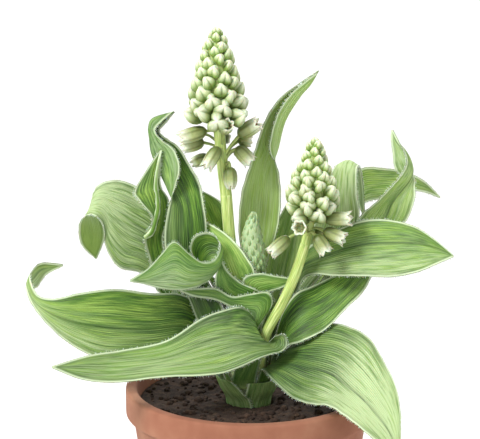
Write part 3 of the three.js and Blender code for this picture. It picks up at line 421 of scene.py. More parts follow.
def blade(
        name, rows, finishes, waves, ripple, phase, bloom_and_highlight, fresh, depth, crease=None, steps=(84, 56),
        hairs=2.2):
    """Builds one blade from rows of points, foot to tip, each row from left margin to right margin.
    Its margins wave so many times and ripple so many millimetres; steps are its mesh's counts along and
    across; hairs are how many grow on each millimetre of margin. Its four finishes are for the upper face,
    the under face, the cut edge and the hairs."""
    s, t, grid, normal = strap(rows, steps)
    length = np.linalg.norm(np.diff(grid[:, steps[1] // 2], axis=0), axis=1).sum()
    width = np.linalg.norm(np.diff(grid, axis=1), axis=2).sum(axis=1).max()
    rim = np.abs(2 * t - 1)[None, :]
    fade = np.sin(math.pi * s)[:, None]
    side_phase = np.where(t < 0.5, 0, MARGIN_LAG)[None, :]
    lift = ripple * rim ** 2 * fade * np.sin(2 * math.pi * waves * s[:, None] + phase + side_phase)
    frill = np.sin(2 * math.pi * s[:, None] * length / FRILL_PITCH + 3 * side_phase)
    lift = lift + FRILL_HEIGHT * rim ** 5 * fade * frill
    veins = max(6, round(width / VEIN_PITCH))
    ridge = RIDGE_HEIGHT * np.cos(math.pi * veins * t)[None, :] * (1 - rim ** 4) * np.minimum(1, 4 * fade)
    half_thick = LEAF_THICK / 2 * (1 - MARGIN_THINNING * rim ** 4)
    upper = grid + normal * (lift + half_thick + ridge)[..., None]
    under = grid + normal * (lift - half_thick + UNDER_RIDGE * ridge)[..., None]
    n, m = len(s), len(t)
    index = np.arange(2 * n * m).reshape(2, n, m)
    top, low = (
        np.stack([face[:-1, :-1], face[:-1, 1:], face[1:, 1:], face[1:, :-1]], -1).reshape(-1, 4)
        for face in index)
    low = low[:, [0, 3, 2, 1]]
    loop = [(0, j) for j in range(m - 1)] + [(i, m - 1) for i in range(n - 1)]
    loop += [(n - 1, j) for j in range(m - 1, 0, -1)] + [(i, 0) for i in range(n - 1, 0, -1)]
    edge = [(index[0][b], index[0][a], index[1][a], index[1][b]) for a, b in zip(loop, loop[1:] + loop[:1])]
    faces = [*top.tolist(), *low.tolist(), *edge]
    slots = [0] * len(top) + [1] * len(low) + [2] * len(edge)
    points = [upper.reshape(-1, 3), under.reshape(-1, 3)]
    across = (np.broadcast_to(t - 0.5, (n, m)) * veins * VEIN_PITCH).ravel()
    along = (np.broadcast_to(s[:, None], (n, m)) * length).ravel()
    uv = [np.stack([across, along], -1)] * 2
    steps_across = np.cumsum(np.linalg.norm(np.diff(grid, axis=1), axis=2), axis=1)
    gone = np.concatenate([np.zeros((n, 1)), steps_across], axis=1)
    inward = np.minimum(gone, gone[:, -1:] - gone)
    folds = np.zeros((n, m))
    if crease:
        off = (t[None, :] - (crease[0] + (crease[1] - crease[0]) * s[:, None])) * width
        folds = np.exp(-(off / FOLD_LINE) ** 2) + 0.45 * np.exp(-(off / FOLD_SHADE) ** 2) * (off < 0)
    hair_points, hair_faces = fringe(
        (upper + under) / 2, normal, int(length * hairs), 2 * n * m, random.Random(name))
    points += hair_points
    faces += hair_faces
    slots += [3] * len(hair_faces)
    count = 4 * len(hair_points)
    uv.append(np.zeros((count, 2)))
    # What the skin's finish reads: a number for each point of the blade, and one for all its hairs.
    # Depth and crease carry painted shade; bloom carries both the waxy bloom and painted highlights.
    read = {
        "rim": (np.clip(1 - inward / RIM_REACH, 0, 1), 1),
        "rise": (s[:, None], 1),
        "fresh": (np.interp(s, np.linspace(0, 1, len(fresh)), fresh)[:, None], 0),
        "depth": (through(depth, s)[:, None], 0),
        "crease": (folds, 0),
        "bloom_and_highlight": (through(through(bloom_and_highlight, s).T, t).T, 1)}
    values = {}
    for label, (on_skin, on_hairs) in read.items():
        both_faces = np.tile(np.broadcast_to(on_skin, (n, m)).ravel(), 2)
        values[label] = np.concatenate([both_faces, np.full(count, on_hairs)])
    made = piece(name, np.concatenate(points), faces, finishes, slots, np.concatenate(uv), values)
    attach(made, "root")
    return made


def living_leaf(name, roughness, deep, fresh, light, wax_and_highlight, most_wax_and_highlight, subsurface):
    """Leaf skin: colour streaks between parallel veins, a waxy bloom and painted highlights that grey it,
    painted shade, and a pale thin rim.
    """
    made, tree, shader = finish_named(name, roughness, 1.38, subsurface)
    spot = add(tree, "ShaderNodeUVMap", uv_map="UVMap").outputs["UV"]
    # Tissue between veins differs in strips about 0.45 mm wide and 15 mm long, and in broad ones of 6 by 24.
    strip_place = add(tree, "ShaderNodeMapping", {"Vector": spot, "Scale": (1 / 0.45, 1 / 15, 1)})
    strip = add(
        tree, "ShaderNodeTexNoise",
        {"Vector": strip_place.outputs[0], "Scale": 1.0, "Detail": 3.0, "Roughness": 0.65})
    broad_place = add(tree, "ShaderNodeMapping", {"Vector": spot, "Scale": (1 / 6, 1 / 24, 1)})
    broad = add(tree, "ShaderNodeTexNoise", {"Vector": broad_place.outputs[0], "Scale": 1.0, "Detail": 2.0})
    both = add(tree, "ShaderNodeMix", {0: 0.5, 2: strip.outputs["Fac"], 3: broad.outputs["Fac"]})
    fresh_share = add(tree, "ShaderNodeAttribute", attribute_name="fresh").outputs["Fac"]
    tone = add(tree, "ShaderNodeMath", {0: both.outputs[0], 1: fresh_share}, operation="ADD")
    green = add(
        tree, "ShaderNodeValToRGB", {0: tone.outputs[0]}, ramp=[(0.38, deep), (0.5, fresh), (0.63, light)])
    # Each vein is a thin dark line, one to every VEIN_PITCH of width.
    vein_place = add(tree, "ShaderNodeSeparateXYZ", {0: spot}).outputs["X"]
    turn = add(tree, "ShaderNodeMath", {0: vein_place, 1: 2 * math.pi / VEIN_PITCH}, operation="MULTIPLY")
    wave = add(tree, "ShaderNodeMath", {0: turn.outputs[0]}, operation="COSINE")
    line = add(
        tree, "ShaderNodeMapRange",
        {"Value": wave.outputs[0], "From Min": -0.4, "From Max": -1.0, "To Max": 0.38})
    veined = add(
        tree, "ShaderNodeMix", {0: line.outputs[0], 6: green.outputs["Color"], 7: linear(deep)},
        data_type="RGBA")
    # The waxy bloom and the painted highlights, both set per leaf, break up in streaky patches about 1.5 mm
    # wide and 16 mm long.
    waxy_and_highlit = add(tree, "ShaderNodeAttribute", attribute_name="bloom_and_highlight").outputs["Fac"]
    patch_place = add(tree, "ShaderNodeMapping", {"Vector": spot, "Scale": (1 / 1.5, 1 / 16, 1)})
    patch = add(tree, "ShaderNodeTexNoise", {"Vector": patch_place.outputs[0], "Scale": 1.0, "Detail": 3.0})
    uneven = add(
        tree, "ShaderNodeMapRange",
        {"Value": patch.outputs["Fac"], "From Min": 0.36, "From Max": 0.64, "To Min": 0.35, "To Max": 1.4})
    amount = add(tree, "ShaderNodeMath", {0: waxy_and_highlit, 1: uneven.outputs[0]}, operation="MULTIPLY")
    share = add(
        tree, "ShaderNodeMath", {0: amount.outputs[0], 1: most_wax_and_highlight}, operation="MULTIPLY", use_clamp=True)
    bloomed_and_highlit = add(
        tree, "ShaderNodeMix", {0: share.outputs[0], 6: veined.outputs[2], 7: linear(wax_and_highlight)}, data_type="RGBA")
    # A last dark vein runs beside the margin; beyond it the blade thins out and lets light through.
    margin = add(tree, "ShaderNodeAttribute", attribute_name="rim").outputs["Fac"]
    beside = add(
        tree, "ShaderNodeMapRange", {"Value": margin, "From Min": 0.5, "From Max": 0.76, "To Max": 0.35})
    last_vein = add(
        tree, "ShaderNodeMix", {0: beside.outputs[0], 6: bloomed_and_highlit.outputs[2], 7: linear(deep)},
        data_type="RGBA")
    thin = add(
        tree, "ShaderNodeMapRange", {"Value": margin, "From Min": 0.74, "From Max": 0.9, "To Max": 0.92})
    rimmed = add(
        tree, "ShaderNodeMix", {0: thin.outputs[0], 6: last_vein.outputs[2], 7: linear("#dbebc2")},
        data_type="RGBA")
    # The outermost cells, less than 0.3 mm of them, dry to a dark line.
    outermost = add(
        tree, "ShaderNodeMapRange", {"Value": margin, "From Min": 0.945, "From Max": 1.0, "To Max": 0.75})
    edged = add(
        tree, "ShaderNodeMix", {0: outermost.outputs[0], 6: rimmed.outputs[2], 7: linear("#3f5529")},
        data_type="RGBA")
    # Painted shade darkens each leaf as far as its depth numbers say, mostly towards the middle of the plant,
    # in streaks;
    # the very foot is pale, since no light reaches it.
    rise = add(tree, "ShaderNodeAttribute", attribute_name="rise").outputs["Fac"]
    painted_shade = add(tree, "ShaderNodeAttribute", attribute_name="depth").outputs["Fac"]
    streaky = add(
        tree, "ShaderNodeMapRange",
        {"Value": strip.outputs["Fac"], "From Min": 0.62, "From Max": 0.38, "To Min": 0.45, "To Max": 1.15})
    shade_share = add(
        tree, "ShaderNodeMath", {0: painted_shade, 1: streaky.outputs[0]}, operation="MULTIPLY", use_clamp=True)
    shaded = add(
        tree, "ShaderNodeMix", {0: shade_share.outputs[0], 6: edged.outputs[2], 7: linear(deep)},
        data_type="RGBA")
    # Painted shade along a fold: a thin dark line and a softer shade on one side of it.
    fold = add(tree, "ShaderNodeAttribute", attribute_name="crease").outputs["Fac"]
    fold_shade_share = add(tree, "ShaderNodeMath", {0: fold, 1: 0.6}, operation="MULTIPLY", use_clamp=True)
    fold_shaded = add(
        tree, "ShaderNodeMix", {0: fold_shade_share.outputs[0], 6: shaded.outputs[2], 7: linear(deep)},
        data_type="RGBA")
    shelter = add(
        tree, "ShaderNodeMapRange", {"Value": rise, "From Min": 0.1, "From Max": 0.0, "To Max": 0.8})
    based = add(
        tree, "ShaderNodeMix", {0: shelter.outputs[0], 6: fold_shaded.outputs[2], 7: linear("#a9bf7a")},
        data_type="RGBA")
    tree.links.new(based.outputs[2], shader.inputs["Base Color"])
    relief = add(tree, "ShaderNodeMath", {0: wave.outputs[0], 1: strip.outputs["Fac"]}, operation="ADD")
    bump = add(tree, "ShaderNodeBump", {"Strength": 0.35, "Distance": 0.0003, "Height": relief.outputs[0]})
    tree.links.new(bump.outputs["Normal"], shader.inputs["Normal"])
    return made


def mottled(name, roughness, ior, subsurface, patch, detail, ramp):
    """A finish whose colour wanders through the ramp in patches of so many millimetres."""
    made, tree, shader = finish_named(name, roughness, ior, subsurface)
    place = add(tree, "ShaderNodeTexCoord").outputs["Object"]
    wander = add(tree, "ShaderNodeTexNoise", {"Vector": place, "Scale": 1000 / patch, "Detail": detail})
    colour = add(tree, "ShaderNodeValToRGB", {0: wander.outputs["Fac"]}, ramp=ramp)
    tree.links.new(colour.outputs["Color"], shader.inputs["Base Color"])
    return made


# The upper face is a saturated dark green with a soft sheen; the under face is lighter and duller.
upper_skin = living_leaf(
    "leaf_upper_skin", 0.48, deep="#1b3a08", fresh="#58861f", light="#94b648", wax_and_highlight="#b8cd94", most_wax_and_highlight=1.0,
    subsurface=0.05)
under_skin = living_leaf(
    "leaf_under_skin", 0.52, deep="#2c5413", fresh="#67932f", light="#9fbe5c", wax_and_highlight="#bdd2a0", most_wax_and_highlight=1.0,
    subsurface=0.05)
# The cut edge of a blade is thin and clear, so it shows a muted, patchy green; the hairs are dry and white,
# and catch the light as a pale fringe.
thin_rim = mottled("thin_leaf_margin", 0.45, 1.42, 0.2, 3, 2.0, [(0.3, "#4a6131"), (0.7, "#6b8248")])
down = mottled("white_leaf_hair", 0.4, 1.5, 0.2, 2, 1.0, [(0.3, "#d6e3c6"), (0.7, "#f1f5e8")])
LEAF_FINISHES = [upper_skin, under_skin, thin_rim, down]


def leaf(name, foot, waves, ripple, phase, rows, bloom_and_highlight, depth, fresh=(0.0, 0.0), crease=None, rolled=False):
    """A leaf whose foot hugs one shoulder of the neck; its other rows are points as seen from the front.
    Foot is that shoulder, its middle's bearing and its width in degrees, and how many points it has across.
    Bloom is how much waxy bloom and painted highlight pale it near the foot, half way and near the tip, each
    from left margin to right margin; depth is how much painted shade darkens it from foot to tip; fresh is
    how much lighter it is than its neighbours; crease is where its fold line, drawn in painted shade, lies
    across it, at foot and tip."""
    shoulder, bearing, width, count = foot
    finishes = [under_skin, upper_skin, thin_rim, down] if rolled else LEAF_FINISHES
    feet = [around(bearing, width, height, radius, count) for height, radius in SHOULDERS[shoulder]]
    made = blade(
        name + "_blade", feet + [[seen(*p) for p in row] for row in rows], finishes, waves, ripple,
        phase, bloom_and_highlight, fresh, depth, crease)
    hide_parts(name)


# Each leaf's bloom numbers set its waxy bloom together with its painted highlights, its depth numbers its
# painted shade, and its crease a fold line of painted shade.
leaf(
    "leaf_front_left", foot=("low", -106, 58, 4), waves=6, ripple=0.35, phase=0,
    bloom_and_highlight=((0.0, 0.0, 0.0), (0.4, 0.5, 0.1), (0.4, 0.4, 0.3)), depth=(0.9, 0.9, 0.65, 0.1, 0.3),
    rows=[
        [(6.5, 24, -14.5), (4.5, 23, -15.3), (0, 22.2, -15), (-6, 22, -13.5)],
        [(12, 31.4, -17.4), (9, 28, -15), (3, 29.5, -16.4), (-4, 33, -12.6)],
        [(17.9, 32.4, -20.2), (12.2, 28.4, -15.8), (6, 30.8, -18.8), (1, 42, -13.2)],
        [(17.5, 25.5, -23), (9, 26.5, -20), (-1, 32, -20), (-4, 46.5, -15.2)],
        [(6, 21, -27.7), (-3, 26, -24.5), (-9, 32.5, -21.5), (-12, 45.5, -17.7)],
        [(-15, 13, -32.4), (-20, 21.5, -27.5), (-23.5, 30, -24), (-25, 40.5, -20.9)],
        [(-45, 11, -40.4), (-44, 17, -35.5), (-42.8, 23, -31.5), (-42, 29.8, -27.9)],
        [(-68, 8.7, -47.4), (-66.7, 14.5, -43.2), (-65.4, 20, -39.5), (-64, 25, -36.4)],
        [(-84, 10.2, -51.7), (-82, 14.7, -49), (-80.7, 19, -46.6), (-80, 22.6, -44.7)],
        [(-99, 16.5, -53)],
    ])
leaf(
    "leaf_low_left", foot=("low", -161, 44, 3), waves=5, ripple=0.35, phase=1,
    bloom_and_highlight=((0.3, 0.0, 0.0), (0.5, 0.1, 0.0), (0.9, 0.3, 0.0), (1.6, 0.7, 0.1), (0.2, 0.1, 0.0)),
    depth=(0.9, 0.9, 0.3, 0.0, 0.0), fresh=(0.05, 0.05, 0.1), crease=(0.5, 0.42),
    rows=[
        [(-19, 21, -7.2), (-19, 28.5, -3.4), (-19, 37, -1.2)],
        [(-32, 25, -13), (-32, 37.5, -6), (-32, 52, -1.6)],
        [(-50, 22, -19), (-50, 36.5, -11), (-50, 53.5, -5)],
        [(-72.5, 20, -24), (-71, 37.5, -14), (-67.5, 55.5, -8)],
        [(-89, 27.5, -24), (-87.5, 40, -16), (-85, 53.5, -11)],
        [(-102.5, 39, -21), (-101, 44.5, -16), (-97.5, 50.5, -12)],
        [(-109.5, 48.5, -14), (-108.5, 50.3, -12), (-106, 52.5, -10.5)],
        [(-112, 57, -6), (-111.3, 58.5, -6), (-109.5, 60.5, -6.5)],
        [(-107, 56, 2), (-109, 61.5, 0), (-108.5, 65.5, -2)],
        [(-102, 62.5, 6), (-104, 66, 5), (-104, 68.6, 3)],
        [(-93.5, 67.5, 8)],
    ])
leaf(
    "leaf_trumpet", foot=("high", -150, 30, 4), waves=5, ripple=0.15, phase=0,
    bloom_and_highlight=((0.0, 0.0, 0.0), (0.2, 0.0, 0.0), (0.9, 0.3, 0.0), (0.9, 0.3, 0.0)),
    depth=(0.8, 0.4, 0.5, 0.6, 0.45), rolled=True,
    rows=[
        [(-7.5, 43, -3.8), (-9, 43, -4.2), (-10.5, 43, -4.4), (-12, 43, -4.2)],
        [(-12.5, 56, -3.8), (-14.8, 56.6, -4), (-17, 57, -4.2), (-19, 57.2, -4.4)],
        [(-18.4, 61, -4.4), (-20.8, 63.5, -4.2), (-23.4, 66, -4.4), (-26.4, 68, -5)],
        [(-19.5, 64.5, -5.6), (-22.5, 68, -4.4), (-26, 72, -4.4), (-30, 76, -6)],
        [(-19.3, 66, -6.6), (-21, 71.5, -4.4), (-24, 77.5, -4), (-27.5, 82, -5.4)],
        [(-18.6, 67, -7.6), (-18.5, 73, -5), (-19.3, 79, -4.4), (-21, 83.8, -5.4)],
        [(-17.4, 66.8, -9.2), (-15.2, 71.5, -7.6), (-14.6, 76.5, -7), (-16.3, 81, -7.2)],
        [(-17.5, 64.8, -12), (-14.6, 68.5, -11.4), (-13.7, 72.5, -10.6), (-15.2, 76, -10)],
        [(-20.5, 60.3, -15), (-17.8, 63.5, -15.6), (-16.9, 67, -15.4), (-18.4, 70, -14.4)],
        [(-25.5, 57, -16.8), (-23.7, 61.5, -18), (-23.4, 65.8, -18.2), (-24.4, 69.2, -17)],
        [(-32.5, 55, -17.4), (-30.8, 61, -19), (-30.2, 67.5, -19), (-31, 73.8, -16.6)],
        [(-39.5, 55, -17.8), (-38, 63.5, -19), (-37, 72, -18.2), (-38, 79.4, -14.4)],
        [(-46, 56, -18.5), (-44.8, 62, -19.4), (-43.8, 68.5, -18), (-44, 73.4, -15.6)],
        [(-53, 58, -18.8), (-51.8, 60.6, -19.6), (-51, 63.4, -19.2), (-50.8, 66, -18)],
        [(-60, 59.7, -20)],
    ])
leaf(
    "leaf_arched_left", foot=("low", 151, 44, 3), waves=5, ripple=0.35, phase=2,
    bloom_and_highlight=(
        (0.6, 0.5, 0.4), (0.5, 0.5, 0.6), (0.5, 0.8, 1.0), (0.6, 1.4, 1.5),
        (0.0, 0.2, 0.3), (0.0, 0.0, 0.0)),
    depth=(0.8, 0.7, 0.4, 0.0, 0.2), fresh=(0.03, 0.03, 0.03, 0.03, 0.16, 0.2),
    rows=[
        [(-24, 34, 8.5), (-22, 41, 11), (-19, 47, 12.5)],
        [(-40, 54, 7.5), (-38, 66, 11), (-33, 78, 14)],
        [(-53.8, 63.2, 5.8), (-50, 80, 10.8), (-43, 97, 15.8)],
        [(-65.4, 66.2, 5.7), (-60, 86, 10.7), (-55, 106, 17.2)],
        [(-71.6, 75.4, 6.4), (-68, 92, 10.9), (-66, 110, 18.4)],
        [(-73, 86, 6.8), (-74, 97.5, 12.3), (-74.5, 108, 19.3)],
        [(-77.5, 91.8, 6.8), (-79, 97, 12.8), (-78.8, 102.5, 20.3)],
        [(-82, 92.4, 10), (-80.8, 93.8, 16.5), (-77, 94.8, 23)],
        [(-85, 88.5, 14.8), (-80.6, 89.4, 20.8), (-74.2, 90, 25.3)],
        [(-85.5, 82, 20.2), (-79.4, 82.6, 24.2), (-72.6, 83.4, 26.7)],
        [(-83.5, 76.5, 24.8), (-78.6, 77, 26.8), (-73.6, 78, 28.1)],
        [(-77, 70.8, 29)],
    ])
leaf(
    "leaf_pointed_left", foot=("mid", 148, 40, 3), waves=5, ripple=0.25, phase=0,
    bloom_and_highlight=((0.0, 0.0, 0.1), (0.1, 0.0, 0.0), (0.2, 0.1, 0.0)), depth=(0.8, 0.7, 0.5, 0.4, 0.4),
    fresh=(0.04, 0.04),
    rows=[
        [(-27, 39, 3.5), (-23, 41, 4.5), (-19.5, 43, 5.3)],
        [(-46, 54, 1.8), (-41, 56, 2.8), (-35, 58, 3.8)],
        [(-49.5, 67, 3), (-46, 68, 3.8), (-41, 70, 4.7)],
        [(-52.8, 80.3, 1.4), (-48.5, 81, 4.4), (-43.3, 81, 5.6)],
        [(-48.8, 90, 1.8), (-45.8, 91, 4.8), (-40.6, 91, 7)],
        [(-55.5, 99.5, 1.9), (-46.2, 100.5, 5.1), (-40.6, 100, 7.8)],
        [(-57.8, 104.5, 2.7), (-47.5, 107, 4.9), (-44.6, 107, 6.3)],
        [(-51.8, 115, 4.5), (-47, 116, 5.3), (-44.6, 116, 6.1)],
        [(-44.6, 125, 6.2)],
    ])
leaf(
    "leaf_tall_left", foot=("mid", -168, 34, 4), waves=6, ripple=0.2, phase=1,
    bloom_and_highlight=((0.2, 0.1, 0.0), (0.5, 0.1, 0.0), (0.4, 0.2, 0.1)), depth=(0.9, 0.7, 0.4, 0.4, 0.3),
    fresh=(-0.04, -0.04), crease=(0.35, 0.45),
    rows=[
        [(-23.5, 34, -6.6), (-19.5, 34, -7.2), (-15.5, 34.5, -7.2), (-11.2, 35.2, -6.9)],
        [(-31, 51, -5.1), (-26, 50, -6), (-20.4, 48, -6.8), (-13.9, 47, -7.6)],
        [(-40, 66, -1), (-34.5, 66, -0.6), (-29, 66, -0.2), (-24.5, 68, 0)],
        [(-43, 80, 1.5), (-37, 80, 2.1), (-29, 81, 2.7), (-21.6, 84, 2.5)],
        [(-41, 96, 3.8), (-37, 96, 5), (-30.5, 97, 6), (-23, 97.5, 5)],
        [(-37.4, 106.5, 4), (-40.6, 104.5, 6.8), (-33, 106, 9.2), (-25, 108, 7.8)],
        [(-35, 116, 4.6), (-45.4, 114.5, 8.1), (-38, 116, 11.2), (-29.5, 116.5, 9.6)],
        [(-38, 125, 5.9), (-49, 123.5, 9.4), (-43, 124.5, 12.8), (-35.3, 126, 11)],
        [(-44, 130, 7.7), (-50, 130.5, 10.6), (-46.5, 129.5, 13.2), (-41.8, 130.8, 11.4)],
        [(-47.5, 134.5, 9.1), (-50.5, 136.3, 11.3), (-48.8, 136, 13.3), (-45.3, 134.4, 12.3)],
        [(-44.5, 138.8, 10.4), (-48.2, 140.8, 12.2), (-45.5, 140.2, 13.8), (-42, 138.5, 13)],
        [(-38, 144, 13)],
    ])
leaf(
    "leaf_behind_scape", foot=("high", 118, 38, 3), waves=3, ripple=0.2, phase=0,
    bloom_and_highlight=((0.0, 0.0, 0.0), (0.0, 0.0, 0.1), (0.1, 0.1, 0.1)), depth=(0.8, 0.4, 0.0, 0.0, 0.0),
    fresh=(0.07, 0.07),
    rows=[
        [(-6.5, 45, 9.9), (-4, 45, 10.5), (-1.5, 45, 10.5)],
        [(-13, 64, 15.2), (-9.2, 65, 16.4), (-5.5, 66, 15.6)],
        [(-20, 81, 19.4), (-14, 82, 21), (-8.2, 84, 19.4)],
        [(-25, 91, 23), (-18.5, 93, 25), (-11.6, 95, 23.4)],
        [(-28, 99, 27.3), (-22.5, 101, 28.9), (-17.2, 101, 27.7)],
        [(-34, 109, 32)],
    ])
leaf(
    "leaf_centre_up", foot=("high", 177, 30, 3), waves=3, ripple=0.25, phase=0,
    bloom_and_highlight=((0.1, 0.0, 0.0), (0.1, 0.0, 0.1), (0.1, 0.1, 0.2)), depth=(0.5, 0.3, 0.1, 0.0, 0.0),
    fresh=(0.09, 0.09),
    rows=[
        [(0, 46, -1.2), (-5.5, 44.5, -1.4), (-10.5, 44, -1.2)],
        [(2.6, 62.5, -1.6), (-7, 59, -1.8), (-14, 57, -1.6)],
        [(-1.2, 71, -1.8), (-10, 68.5, -1.4), (-17, 66, -1.6)],
        [(-7.5, 79, -0.4), (-13.5, 77, 0.2), (-19, 74, 0)],
        [(-15.5, 85.6, 3.2), (-19.5, 83.6, 4.4), (-23.5, 81, 4.6)],
        [(-30, 92.5, 10)],
    ])
leaf(
    "leaf_centre_left", foot=("mid", -128, 38, 3), waves=3, ripple=0.25, phase=0,
    bloom_and_highlight=((0.0, 0.1, 0.3), (0.0, 0.1, 0.3), (0.1, 0.2, 0.3)), depth=(0.9, 0.7, 0.4, 0.4, 0.3),
    rows=[
        [(3, 34, -9.2), (-1, 33, -9.8), (-5, 33, -9.6)],
        [(11, 47.5, -7), (6, 43, -8.8), (1, 38, -9.8)],
        [(9, 54, -7), (5, 48, -8.4), (0.5, 42, -9.6)],
        [(0, 53.2, -7.8), (-2, 48.4, -8.6), (-4, 43.5, -9.4)],
        [(-9, 52, -8), (-9.5, 49.5, -8.8), (-10, 46.5, -9.4)],
        [(-17, 56, -7.8), (-17.5, 53, -8.5), (-18, 50, -9)],
        [(-26, 56, -8.3), (-27, 54, -8.7), (-28, 51.6, -9.2)],
        [(-35.5, 55, -9.4)],
    ])
leaf(
    "leaf_centre_low", foot=("high", -103, 40, 3), waves=3, ripple=0.2, phase=0,
    bloom_and_highlight=((0.0, 0.0, 0.0), (0.0, 0.0, 0.1), (0.1, 0.1, 0.2)), depth=(0.9, 0.8, 0.6, 0.5, 0.4),
    rows=[
        [(7, 42, -5.8), (-1, 41, -6.4), (-7, 40, -6)],
        [(12, 50, -4.8), (1, 47, -6.2), (-9, 45.5, -6.2)],
        [(4, 55, -5), (-5, 52, -5.8), (-13, 49.5, -6.2)],
        [(-4.5, 58.8, -5.4), (-11, 56, -5.9), (-17, 54, -6.2)],
        [(-11.2, 65, -5.6), (-14, 63.5, -5.9), (-17.4, 61, -6)],
        [(-14.6, 70.8, -5.8)],
    ])
leaf(
    "leaf_centre_right", foot=("high", -44, 34, 3), waves=3, ripple=0.2, phase=0,
    bloom_and_highlight=((0.0, 0.0, 0.1), (0.0, 0.0, 0.1), (0.1, 0.1, 0.2)), depth=(0.8, 0.6, 0.4, 0.3, 0.3),
    fresh=(0.05, 0.05),
    rows=[
        [(5, 45, -3.8), (1.5, 47, -3.4), (-2.5, 50, -3.2)],
        [(6, 52, -3.8), (2, 56.5, -3.4), (-3.4, 60.6, -3.2)],
        [(10, 54, -3.8), (7.5, 59, -3.4), (4.4, 63.4, -3.2)],
        [(16, 56, -3.4), (14, 59.5, -3), (12, 62.3, -2.8)],
        [(24, 60, -1.6)],
    ])
leaf(
    "leaf_tall_right", foot=("high", 72, 40, 4), waves=5, ripple=0.2, phase=0,
    bloom_and_highlight=((0.7, 0.6, 0.5), (0.5, 0.5, 0.5), (0.2, 0.2, 0.1)), depth=(0.0, 0.0, 0.0, 0.15, 0.3),
    fresh=(0.32, 0.2),
    rows=[
        [(-1, 47, 10.9), (1.2, 47, 11.9), (3.4, 47, 11.9), (5.5, 48, 11.1)],
        [(-2, 62, 13.8), (1, 62, 15.4), (4.4, 63, 15.6), (7.4, 64.5, 14)],
        [(-5.5, 82.5, 15.6), (1, 83, 19), (8, 84, 18.8), (13.8, 85, 15.4)],
        [(-4.5, 102.5, 17), (2.5, 102, 20.6), (9.5, 102, 20.6), (15.4, 101, 16.8)],
        [(0, 117, 18.9), (5, 117, 22.5), (11, 117, 22.5), (13.6, 116.5, 18.3)],
        [(2.5, 125.5, 20.4), (8, 125.5, 24), (13.8, 125.5, 22.8), (9.6, 126, 18.6)],
        [(7.5, 139.5, 22), (12.5, 140, 25.4), (17.5, 139.5, 24.2), (12.8, 141, 20.4)],
        [(15, 151, 23.6), (20, 150, 26.2), (24.8, 151.5, 25), (19.8, 152.2, 22.2)],
        [(25, 158.6, 25.3), (27.6, 157.4, 26.5), (30, 157.6, 25.7), (27, 159, 24.3)],
        [(34, 164.5, 27)],
    ])
leaf(
    "leaf_behind_left", foot=("mid", 84, 38, 3), waves=3, ripple=0.35, phase=2,
    bloom_and_highlight=((0.3, 0.3, 0.3), (0.5, 0.5, 0.5), (0.3, 0.3, 0.3)), depth=(0.5, 0.2, 0.1, 0.2, 0.2),
    fresh=(0.08, 0.05),
    rows=[
        [(7, 43, 15.2), (10.5, 42, 16.2), (14, 42, 14.8)],
        [(4.6, 61, 22.1), (14, 62, 23.5), (24, 62, 20.7)],
        [(8.6, 80, 27.8), (18, 80, 28.9), (27, 80, 26.3)],
        [(16.5, 95, 32.7), (22, 96, 33.3), (28, 95, 31.3)],
        [(26, 111, 36)],
    ])
leaf(
    "leaf_bent_back", foot=("mid", 40, 38, 3), waves=4, ripple=0.35, phase=1,
    bloom_and_highlight=((0.6, 0.6, 0.6), (0.8, 0.8, 0.8), (1.5, 1.5, 1.5)), depth=(0.8, 0.4, 0.1, 0.0, 0.0),
    fresh=(0.05, 0.05),
    rows=[
        [(11, 44, 8.5), (15, 43, 9.1), (19, 42, 7.9)],
        [(22, 66, 10.3), (30, 66, 12.3), (38, 65, 10.9)],
        [(32, 88, 10.6), (43, 88, 13.6), (53.8, 88, 11.2)],
        [(36, 104, 11.5), (45, 104, 14.1), (53.4, 104, 12.1)],
        [(41, 114.4, 13.9), (47, 116.8, 15.9), (53.6, 115.4, 14.5)],
        [(44.5, 116.8, 19.6), (50, 119.2, 20.6), (55.2, 116, 19.2)],
        [(50, 108, 24.7), (53.6, 109.5, 24.7), (56.6, 108, 23.3)],
        [(57, 92, 25.6)],
    ])
leaf(
    "leaf_back_right", foot=("low", 72, 38, 3), waves=4, ripple=0.35, phase=2,
    bloom_and_highlight=((0.4, 0.5, 0.6), (0.3, 0.3, 0.5), (0.3, 0.4, 0.6)), depth=(0.8, 0.5, 0.2, 0.1, 0.1),
    fresh=(0.1, 0.1),
    rows=[
        [(16, 42, 19.7), (19, 38, 19.7), (22, 35, 18.1)],
        [(34, 82, 29.2), (39, 74, 29.2), (43, 66, 27.2)],
        [(46, 109, 33), (50, 101, 34), (54, 94, 32)],
        [(56, 115.8, 34.7), (57, 107.5, 35.9), (58.5, 99, 34.2)],
        [(66, 116, 36.3), (67, 108.5, 38), (67.5, 101, 36.3)],
        [(77, 114.4, 39.5), (77.5, 109, 40.5), (78, 104.5, 39.3)],
        [(87, 109.6, 42.3), (87, 106.6, 42.9), (87.2, 103.8, 42.3)],
        [(95, 101.4, 45)],
    ])
